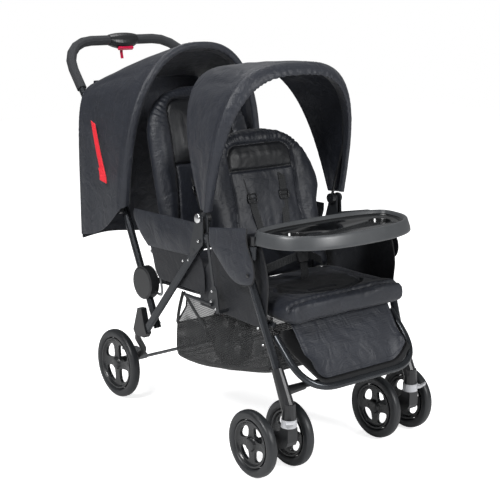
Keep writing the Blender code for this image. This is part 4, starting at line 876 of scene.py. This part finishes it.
NET_FLAT = 0.56      # the share of the cloth's width that makes the bottom; the rest goes up both sides
NET_HALF = 0.180     # half the bottom's width
NET_LOWEST = 0.1735


def net_place(u, v):
    t = (v + 1) / 2
    low, top = spline(NET_PATH, t), spline(NET_TOP, t)
    if abs(u) < NET_FLAT:
        k = abs(u) / NET_FLAT
        x = math.copysign(NET_HALF * k, u)
        round_up = 0.012 * step(0.86, 1.0, k)
        soft = 0.003 * wobble((x, low[0], 0), 0.08, 2.0) * math.sin(math.pi * t)
        z = low[1] + round_up * (top[1] - low[1]) / 0.2 + soft
        return Vector((x, low[0], max(z, NET_LOWEST)))
    k = (abs(u) - NET_FLAT) / (1 - NET_FLAT)
    belly = 0.004 * math.sin(math.pi * k) * math.sin(math.pi * t)
    start = low[1] + 0.012 * (top[1] - low[1]) / 0.2
    y = low[0] * (1 - k) + top[0] * k
    z = start * (1 - k) + top[1] * k
    soft = 0.0025 * wobble((y, z, 1.0), 0.06, 3.0) * math.sin(math.pi * k)
    x = NET_HALF + 0.004 * step(0.0, 0.1, k) + belly * 0.5 + soft
    return Vector((math.copysign(min(x, 0.1870), u), y, z))


basket = grid(110, 90, net_place)
tidy(basket)
wear(basket, "basket_net", net, "rear_frame", "basket_mesh", 60)
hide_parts("basket")
binding = []
for name, line in (("right", [(-0.1845, *p) for p in NET_TOP]), ("left", [(0.1845, *p) for p in NET_TOP]),
                   ("rear", [(-0.1845, *NET_PATH[0]), (0, 0.1025, 0.285), (0.1845, *NET_PATH[0])])):
    binding.append(wear(tube(line, 0.0024, 10, True), "basket_binding_" + name, dark_cloth, "rear_frame",
                        "charcoal_fabric"))
for piece in [basket] + binding:
    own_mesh(piece)
print("basket", len(basket.data.polygons), "faces")

# %% [markdown]
# The calf flap hangs from under the cushion in front of the footrest tube, and a sling of black cloth
# closes the gap between them. Its printed corner on the real one is left bare.

# %% Calf flap and footrest sling
def flap_place(u, v):
    t = (1 - v) / 2
    half = 0.176 - 0.010 * t
    corner = 0.042 * max(0.0, (abs(u) - 0.66) / 0.34) ** 2.2 * step(0.45, 1.0, t)
    y = -0.386 - 0.084 * t - 0.006 * math.sin(math.pi * t)
    z = 0.3995 - 0.1405 * t + corner
    soft = 0.0035 * wobble((u * half, z, 0), 0.07, 5.0) * math.sin(math.pi * min(1.0, t * 1.1)) ** 0.5
    hem = 0.0014 * seam(t - 0.95, 0.015, 1) + 0.0012 * seam(abs(u) - 0.955, 0.012, 1)
    return Vector((u * half, y + soft + hem, z))


calf = give_thickness(grid(80, 56, flap_place), 0.0018, 0.0)
wear(calf, "calf_flap_panel", canopy_cloth, "front_frame", "charcoal_fabric", 60)
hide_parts("calf_flap")


def sling_place(u, v):
    t = (1 - v) / 2
    half = 0.192 - 0.014 * t ** 2
    y = -0.370 - 0.110 * t ** 2.2
    z = 0.374 - 0.1285 * t + 0.045 * max(0.0, (abs(u) - 0.62) / 0.38) ** 2.2 * t
    return Vector((u * half, y + 0.0015 * wobble((u, t, 0), 0.25, 3.0), z))


sling = give_thickness(grid(60, 40, sling_place), 0.0016, 0.0)
wear(sling, "footrest_sling", dark_cloth, "front_frame", "charcoal_fabric", 60)

# the footrest bar is one U of tube with wide bends, flush against both legs
BAR_RADIUS, BEND, BEND_STEPS = 0.0095, 0.105, 14
bar_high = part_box("footrest_tube")[1]
side_x, top_y, top_z = bar_high.x - 0.0100, bar_high.y + SHIFT - 0.010, bar_high.z - 0.005
corners = [Vector((-side_x, top_y, top_z)), Vector((-0.205, -0.492, 0.2430)), Vector((0.205, -0.492, 0.2430)),
           Vector((side_x, top_y, top_z))]
bar = [corners[0]]
for before, corner, after in zip(corners, corners[1:], corners[2:]):
    start = corner + (before - corner).normalized() * BEND
    stop = corner + (after - corner).normalized() * BEND
    for i in range(BEND_STEPS + 1):
        t = i / BEND_STEPS
        bar.append(start * (1 - t) ** 2 + corner * 2 * t * (1 - t) + stop * t * t)
bar.append(corners[-1])
footrest = wear(tube(bar, BAR_RADIUS, 24), "footrest_bar", tube_coat, "front_frame", "gunmetal_tube", 50)
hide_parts("footrest_tube")
print("calf flap, sling and footrest bar")

# %% [markdown]
# Wheels. A moulded nylon rim with four windows carries a one-piece foam tyre. The tyre is a torus pushed
# to a rounder-cornered section, the rim is a turned profile with its windows cut by a Boolean, and both are
# made once for each of the two sizes and copied to every axle, each copy with its own mesh.

# %% Wheel shapes
def turned(profile, steps=72):
    """A solid of revolution about X from (x, r) points, first and last on the axis."""
    rows = len(profile) - 1

    def place(u, v):
        x, r = profile[round((v + 1) / 2 * rows)]
        angle = math.pi * u
        return Vector((x, r * math.cos(angle), r * math.sin(angle)))
    piece = grid(steps, rows, place)
    tidy(piece)
    return piece


def tyre_mesh(radius):
    deselect()
    high = 0.0130                # half the tyre's height in section
    middle = radius - high
    bpy.ops.mesh.primitive_torus_add(major_segments=96, minor_segments=28, major_radius=middle, minor_radius=0.01)
    piece = bpy.context.object

    def place(x, y, z):
        around, reach = math.atan2(y, x), math.hypot(x, y) - middle
        turn = math.atan2(reach, z)
        out = high * math.copysign(abs(math.sin(turn)) ** 0.82, reach)
        wide = 0.0143 * math.copysign(abs(math.cos(turn)) ** 0.78, z)
        # a moulding line runs round each wall, a third of the way in
        wide -= math.copysign(0.0007 * math.exp(-((out - 0.0035) / 0.0013) ** 2), wide)
        r = middle + min(out, high)
        return Vector((wide, r * math.cos(around), r * math.sin(around)))

    pull(piece, place)
    tidy(piece)
    return piece


def rim_mesh(radius):
    outer = radius - 0.0266
    piece = turned([(0.0140, 0.0), (0.0139, 0.0080), (0.0132, 0.0140), (0.0118, 0.0168), (0.0098, 0.0176),
                    (0.0062, 0.0200), (0.0052, 0.0240), (0.0050, outer - 0.0100), (0.0066, outer - 0.0072),
                    (0.0102, outer - 0.0048), (0.0112, outer - 0.0020), (0.0108, outer), (-0.0108, outer),
                    (-0.0112, outer - 0.0020), (-0.0100, outer - 0.0050), (-0.0040, outer - 0.0080),
                    (-0.0034, 0.0240), (-0.0060, 0.0200), (-0.0125, 0.0180), (-0.0130, 0.0)])
    deselect()
    bpy.ops.mesh.primitive_cube_add(size=2)
    window = bpy.context.object
    bpy.ops.object.mode_set(mode="EDIT")
    bpy.ops.mesh.subdivide(number_cuts=11)
    bpy.ops.object.mode_set(mode="OBJECT")
    low, high = 0.0232, outer - 0.0112
    def place(u, v, w):
        # a square moved to a rounded one, then wrapped round the hub: wider outside than inside
        u, v = u * math.sqrt(1 - 0.42 * v * v), v * math.sqrt(1 - 0.42 * u * u)
        r = (low + high) / 2 + (high - low) / 2 * v
        angle = math.radians(45) + math.radians(33) * u * (0.66 + 0.42 * (r - low) / (high - low)) + 2.2 * (r - low)
        return Vector((0.03 * w, r * math.cos(angle), r * math.sin(angle)))

    pull(window, place)
    tidy(window)
    for _ in range(4):
        cut_away(piece, window)
        window.data.transform(Matrix.Rotation(math.pi / 2, 4, "X"))
    bpy.data.objects.remove(window, do_unlink=True)
    soften(piece, 0.0009, 2, 40)
    return piece


patterns = {}
for size, radius in (("rear", 0.1055), ("front", 0.0900)):
    patterns[size] = (tyre_mesh(radius), rim_mesh(radius))
    print(size, "wheel pattern", [len(p.data.polygons) for p in patterns[size]], "faces")

# %% [markdown]
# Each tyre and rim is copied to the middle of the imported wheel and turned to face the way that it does.

# %% Copies on every axle
WHEEL_FACING = {"rear_left": 1, "rear_right": -1, "front_left_outer": 1, "front_left_inner": -1,
                "front_right_outer": -1, "front_right_inner": 1}
for wheel, facing in WHEEL_FACING.items():
    low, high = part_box(wheel + "_tyre")
    centre = (low + high) / 2
    for part, pattern, finish, slot in zip(("tyre", "rim"), patterns[wheel.split("_")[0]], (tyre_foam, rim_nylon),
                                           ("foam_tyre", "matt_plastic")):
        copy = pattern.copy()
        copy.data = pattern.data.copy()
        bpy.context.scene.collection.objects.link(copy)
        turn = Matrix.Rotation(math.pi, 4, "Z") if facing < 0 else Matrix.Identity(4)
        copy.data.transform(Matrix.Translation(centre) @ turn)
        wear(copy, f"{wheel}_{part}_detailed", finish, "wheel_" + wheel, slot, 35, shifted=False)
        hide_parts(f"{wheel}_{part}")
for pair in patterns.values():
    for pattern in pair:
        bpy.data.objects.remove(pattern, do_unlink=True)
print("six wheels")

# %% [markdown]
# The tray is one moulding: a satin outer wall with a rounded lip, and inside it a glossy sunk floor with
# two cup wells. It is lofted ring by ring from an outline that is bowed in front and flatter behind.

# %% Tray
TRAY_RINGS = [(-0.0030, 0.6025), (0.0080, 0.6005), (0.0098, 0.6020), (0.0088, 0.6100), (0.0030, 0.6280),
              (0.0012, 0.6335), (-0.0008, 0.6355), (-0.0040, 0.6360), (-0.0070, 0.6352), (-0.0090, 0.6330),
              (-0.0115, 0.6270), (-0.0135, 0.6246), (-0.0170, 0.6240)]


def tray_place(u, v):
    grow, z = TRAY_RINGS[round((v + 1) / 2 * (len(TRAY_RINGS) - 1))]
    angle = math.pi * u
    c, n = math.cos(angle), math.sin(angle)
    reach = (0.150 + grow) if n > 0 else -(0.058 + grow)
    return Vector(((0.233 + grow) * math.copysign(abs(c) ** 0.78, c), -0.334 - reach * abs(n) ** 0.78, z))


tray = grid(160, len(TRAY_RINGS) - 1, tray_place)
tidy(tray)
choose(tray)
bpy.ops.object.mode_set(mode="EDIT")
bpy.ops.mesh.select_all(action="SELECT")
bpy.ops.mesh.fill_holes(sides=0)
bpy.ops.mesh.normals_make_consistent(inside=False)
bpy.ops.object.mode_set(mode="OBJECT")
deselect()
wells = []
for side in SIDES.values():
    bpy.ops.mesh.primitive_cone_add(vertices=48, radius1=0.0275, radius2=0.0312, depth=0.024,
                                    location=(side * 0.152, -0.375, 0.6065 + 0.012))
    wells.append(bpy.context.object)
    choose(wells[-1])
    bpy.ops.object.transform_apply(location=True)
well = join(wells)
cut_away(tray, well)
soften(tray, 0.0012, 2, 42)
bpy.data.objects.remove(well, do_unlink=True)
wear(tray, "tray_moulding", tray_rim, "tray", "matt_plastic", 42)


def inside_lip(centre, normal):
    x, y = centre.x / 0.2225, (centre.y + SHIFT + 0.334)
    y = y / (0.1395 if y < 0 else 0.0475)
    return abs(x) ** 2.564 + abs(y) ** 2.564 < 1.0 and centre.z > 0.604


patch(tray, tray_top, inside_lip)
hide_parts("tray")
boss_x, boss_y = 0.2435, -0.320
knuckles = [tube([(boss_x, boss_y, 0.5805), (boss_x, boss_y, 0.6035)], 0.0040, 20)]
for side in SIDES.values():
    knuckles.append(tube([(side * boss_x, boss_y, 0.5995), (side * boss_x, boss_y, 0.6225)], 0.0072, 24))
wear(join(knuckles), "tray_knuckles", nylon, "tray", "matt_plastic")
print("tray", len(tray.data.polygons), "faces")

# %% [markdown]
# The harness is flat nylon webbing 24 mm wide. Shoulder straps come out of the slots under the headrest,
# pass a slide buckle, and meet the waist straps at the crotch buckle. The front straps cross the recline
# hinge, from the back to the front frame, which carries the cushion.

# %% Harness helpers
STRAP_WIDE, STRAP_RIPPLE = 0.024, 0.0006


def strap(points, width, across, thickness=0.0018, ripple=0.0):
    """A flat band along a smooth path; across is the direction of its width, or one for each end."""
    ends = across if isinstance(across, list) else [across, across]
    ends = [Vector(a).normalized() for a in ends]

    def place(u, v):
        t = (v + 1) / 2
        wide = ends[0].lerp(ends[1], t).normalized()
        ahead = (spline(points, min(1, t + 0.02)) - spline(points, max(0, t - 0.02))).normalized()
        face = wide.cross(ahead).normalized()
        soft = 0.0004 * (1 - u * u) + ripple * wobble((t * 0.4, u * 0.02, 0), 0.05)
        return spline(points, t) + wide * u * width / 2 + face * soft
    return give_thickness(grid(8, 12 * (len(points) - 1), place), thickness, 0.0, rounding=1)


def loop_buckle(centre, along, across, width, height, bar=0.0022):
    """A slide buckle: a rounded frame of bar round the strap, with its middle bar."""
    along, across = Vector(along).normalized(), Vector(across).normalized()
    corners = [(-1, -0.7), (-1, 0.7), (-0.8, 1), (0.8, 1), (1, 0.7), (1, -0.7), (0.8, -1), (-0.8, -1),
               (-1, -0.7), (-1, 0)]
    path = [Vector(centre) + across * width / 2 * a + along * height / 2 * b for a, b in corners]
    middle = [Vector(centre) - across * width / 2, Vector(centre) + across * width / 2]
    return join([tube(path, bar, 12), tube(middle, bar * 0.8, 12)])


def shoulder_strap(back, seat, word, body, slot_x, slide_x, path, across):
    """A strap that comes out of its slot and follows the path, and its slide 80 mm below the slot."""
    side = SIDES[word]
    top = back.at(side * slot_x, back.slot_at - 0.006, 0.014)
    path = [top - back.out * 0.012, top + back.out * 0.010 - back.up * 0.006] + path
    piece = strap(path, STRAP_WIDE, across, ripple=STRAP_RIPPLE)
    wear(piece, f"{seat}_shoulder_strap_{word}", webbing, body, "charcoal_fabric", 60)
    slide = loop_buckle(back.at(side * slide_x, back.slot_at - 0.080, 0.0330), back.up, (1, 0, 0), 0.031, 0.024)
    wear(slide, f"{seat}_strap_slide_{word}", nylon, seat + "_back", "matt_plastic", 50)
    return piece


print("harness helpers ready")

# %% [markdown]
# The front harness has all its straps: shoulders, waist and crotch, which meet at a square moulded buckle
# with a round press pad in its face.

# %% Front harness
buckle_y, buckle_z = -0.232, 0.522
seat_z, waist = 0.452, 0.150
low, high = ((p.x, p.y - SHIFT, p.z) for p in (front_back.at(0, 0.02, 0), front_back.at(0, 0.10, 0)))
for word, side in SIDES.items():
    slot = front_back.slot_at
    path = [front_back.at(side * 0.060, slot - 0.060, 0.0300), front_back.at(side * 0.052, slot - 0.135, 0.0325),
            front_back.at(side * 0.038, 0.110, 0.0420),
            Vector((0, buckle_y, buckle_z)) + Vector((side * 0.018, 0.012, 0.016))]
    piece = shoulder_strap(front_back, "front", word, None, 0.064, 0.0575, path,
                           [(1, 0, 0), (1, 0, 0.15 * side)])
    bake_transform(piece)
    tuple(low)
    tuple(high)
    hip = [Vector((side * waist, buckle_y + 0.085, seat_z + 0.012)),
           Vector((side * waist * 0.72, buckle_y + 0.045, seat_z + 0.034)),
           Vector((side * 0.050, buckle_y + 0.012, buckle_z - 0.010)),
           Vector((side * 0.020, buckle_y + 0.002, buckle_z))]
    piece = strap(hip, STRAP_WIDE, [(0, 0.4, 1), (0, 0.2, 1)], ripple=STRAP_RIPPLE)
    wear(piece, "front_waist_strap_" + word, webbing, "front_frame", "charcoal_fabric", 60)
crotch = [Vector((0, buckle_y - 0.004, seat_z - 0.004)), Vector((0, buckle_y - 0.012, seat_z + 0.020)),
          Vector((0, buckle_y - 0.006, buckle_z - 0.016))]
wear(strap(crotch, 0.026, (1, 0, 0)), "front_crotch_strap", webbing, "front_frame", "charcoal_fabric", 60)

deselect()
bpy.ops.mesh.primitive_cube_add(size=2)
shell = bpy.context.object
pull(shell, lambda x, y, z: Vector((x * 0.0215 * (0.78 if z < 0 else 1.0), y * 0.0062, z * 0.0190)))
soften(shell, 0.0042, 4)
leaning = Matrix.Translation((0, buckle_y, buckle_z)) @ Matrix.Rotation(math.radians(-14), 4, "X")
shell.data.transform(leaning)
deselect()
bpy.ops.mesh.primitive_cylinder_add(vertices=32, radius=0.0080, depth=0.0016)
press_pad = bpy.context.object
press_pad.data.transform(leaning @ Matrix.Translation((0, -0.0064, 0.002)) @ Matrix.Rotation(math.pi / 2, 4, "X"))
soften(press_pad, 0.0005, 2)
wear(join([shell, press_pad]), "front_crotch_buckle", nylon, "front_frame", "matt_plastic", 40)
print("front harness")

# %% [markdown]
# Of the rear harness the photograph shows one shoulder strap. Both are made, lying on the back all the way
# down, and ride on it alone, because the back and the cushion turn on different joints of the push frame.

# %% Rear harness
for word, side in SIDES.items():
    slot = rear_back.slot_at
    path = [rear_back.at(side * 0.058, slot - 0.060, 0.0300), rear_back.at(side * 0.050, slot - 0.130, 0.0320),
            rear_back.at(side * 0.040, 0.080, 0.0340), rear_back.at(side * 0.032, 0.040, 0.0330)]
    shoulder_strap(rear_back, "rear", word, "rear_back", 0.062, 0.0560, path, (1, 0, 0))
print("rear harness")

# %% [markdown]
# Small bright things catch the eye: nickel rivets with domed heads along the frame's joints, and one big
# cap on each end of the front hood's bow.

# %% Rivets, caps and studs
def dome(place, radius, height, side):
    """A domed head on a flat face that looks to the side."""
    deselect()
    bpy.ops.mesh.primitive_uv_sphere_add(segments=28, ring_count=14, radius=1)
    piece = bpy.context.object
    def bulge(x, y, z):
        rise = max(0.0, z) ** 0.8 if z > 0 else 0.15 * z
        return Vector((place[0] + side * height * rise, place[1] + radius * x, place[2] + radius * y))

    pull(piece, bulge)
    tidy(piece)
    return piece


RIVETS = [("rear_frame", 0.2560, (-0.100, 0.575), 0.0046), ("rear_frame", 0.2500, (-0.020, 0.505), 0.0038),
          ("rear_frame", 0.2500, (-0.045, 0.512), 0.0032), ("front_frame", 0.2635, (-0.170, 0.452), 0.0038),
          ("front_frame", 0.2635, (-0.166, 0.423), 0.0038), ("front_frame", 0.2635, (-0.186, 0.406), 0.0034),
          ("front_frame", 0.2460, (-0.343, 0.387), 0.0038), ("front_frame", 0.2440, (-0.361, 0.346), 0.0038)]
for word, side in SIDES.items():
    for number, (body, x, (y, z), size) in enumerate(RIVETS):
        wear(dome((side * x, y, z), size, 0.0022, side), f"rivet_{number}_{word}", nickel, body, "bright_steel", 60)
    cap = dome((side * 0.2575, -0.100, 0.637), 0.0130, 0.0042, side)
    wear(cap, "hood_cap_" + word, nickel, "front_hood", "bright_steel", 60)
print("rivets and caps")

# %% [markdown]
# A red pull ribbon hangs on the near side of the rear hood. Two straps on each side carry the basket, and a
# thin zinc link with two round heads shows behind each fold disc.

# %% Ribbon, basket hangers and fold links
ribbon = strap([(-0.2610, 0.412, 0.848), (-0.2655, 0.382, 0.773), (-0.2665, 0.360, 0.718), (-0.2670, 0.352, 0.700)],
               0.022, [(-0.1, 0.93, 0.37), (-0.3, 0.90, 0.34)], 0.0024)
loop_end = strap([(-0.2675, 0.360, 0.714), (-0.2700, 0.348, 0.690), (-0.2730, 0.344, 0.680), (-0.2700, 0.350, 0.698)],
                 0.028, (-0.3, 0.90, 0.34), 0.0026)
ribbon = wear(join([ribbon, loop_end]), "red_pull_ribbon", ribbon_cloth, None, "red_ribbon", 60)
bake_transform(ribbon)
LINK = [(0.180, 0.492), (0.152, 0.455), (0.137, 0.372), (0.190, 0.382)]
for word, side in SIDES.items():
    rear_hanger = strap([(side * 0.205, 0.042, 0.398), (side * 0.196, 0.075, 0.340), (side * 0.1855, 0.101, 0.288)],
                        0.014, (0, 0.9, 0.45))
    low_hanger = strap([(side * 0.205, 0.040, 0.398), (side * 0.193, 0.010, 0.352), (side * 0.1865, -0.030, 0.310)],
                       0.012, (0, 0.8, -0.6))
    wear(join([rear_hanger, low_hanger]), "basket_hanger_" + word, webbing, "rear_frame", "charcoal_fabric", 60)
    link = tube([(side * 0.2140, *p) for p in LINK], 0.0034, 16, True)
    heads = [dome((side * 0.2170, *LINK[i]), 0.0052, 0.0030, side) for i in (0, 2)]
    wear(join([link] + heads), "fold_link_" + word, zinc, "push_frame", "bright_steel", 60)
print("ribbon, hangers and fold links")

# %% [markdown]
# Soft studio light: a dim even surround, a key lamp high on the near side for the shine on tubes and tray,
# another in front and a soft weak one above. The floor and the surround are white for the camera.

# %% Floor and light
world = bpy.data.worlds.new("studio")
bpy.context.scene.world = world
world.use_nodes = True
wt = world.node_tree
wt.nodes.clear()
seen = add(wt, "ShaderNodeLightPath")
lit = add(wt, "ShaderNodeBackground", {"Color": linear("#F4F5F7"), "Strength": 0.23})
white = add(wt, "ShaderNodeBackground", {"Color": (1.0, 1.0, 1.0, 1.0), "Strength": 1.0})
either = add(wt, "ShaderNodeMixShader", {0: seen.outputs["Is Camera Ray"], 1: lit.outputs[0], 2: white.outputs[0]})
add(wt, "ShaderNodeOutputWorld", {"Surface": either.outputs[0]})

deselect()
bpy.ops.mesh.primitive_plane_add(size=14)
floor = bpy.context.object
floor.name = "floor"
floor.location.z = -0.0005
pale, pale_tree, pale_shader, pale_where = new_finish("pale_floor", 0.9)
dust = add(pale_tree, "ShaderNodeTexNoise", {"Vector": pale_where, "Scale": 2.0})
pale_tone = add(pale_tree, "ShaderNodeMix", {0: dust.outputs["Fac"], 6: linear("#F7F7F7"), 7: linear("#FCFCFC")},
                data_type="RGBA")
pale_tree.links.new(pale_tone.outputs[2], pale_shader.inputs["Base Color"])
# the camera sees the floor a little brighter than it is lit, so that it meets the white surround unseen
pale_ray = add(pale_tree, "ShaderNodeLightPath")
pale_lift = add(pale_tree, "ShaderNodeMath", {0: pale_ray.outputs["Is Camera Ray"], 1: 0.78}, operation="MULTIPLY")
pale_tree.links.new(pale_lift.outputs[0], pale_shader.inputs["Emission Strength"])
pale_shader.inputs["Emission Color"].default_value = (1.0, 1.0, 1.0, 1.0)
floor.data.materials.append(pale)


def lamp(name, place, aim, size, power):
    data = bpy.data.lights.new(name, "AREA")
    data.shape, data.size, data.energy = "SQUARE", size, power
    made = bpy.data.objects.new(name, data)
    made.location = place
    made.rotation_euler = (Vector(aim) - Vector(place)).to_track_quat("-Z", "Y").to_euler()
    bpy.context.scene.collection.objects.link(made)


lamp("key", (-3.0, -1.2, 3.2), (0, 0, 0.5), 1.2, 128)
lamp("front", (0.9, -4.2, 2.4), (0, -0.2, 0.5), 1.2, 105)
lamp("top", (0.2, 0.9, 3.8), (0, 0, 0.6), 2.0, 62)
print("floor and three lamps")
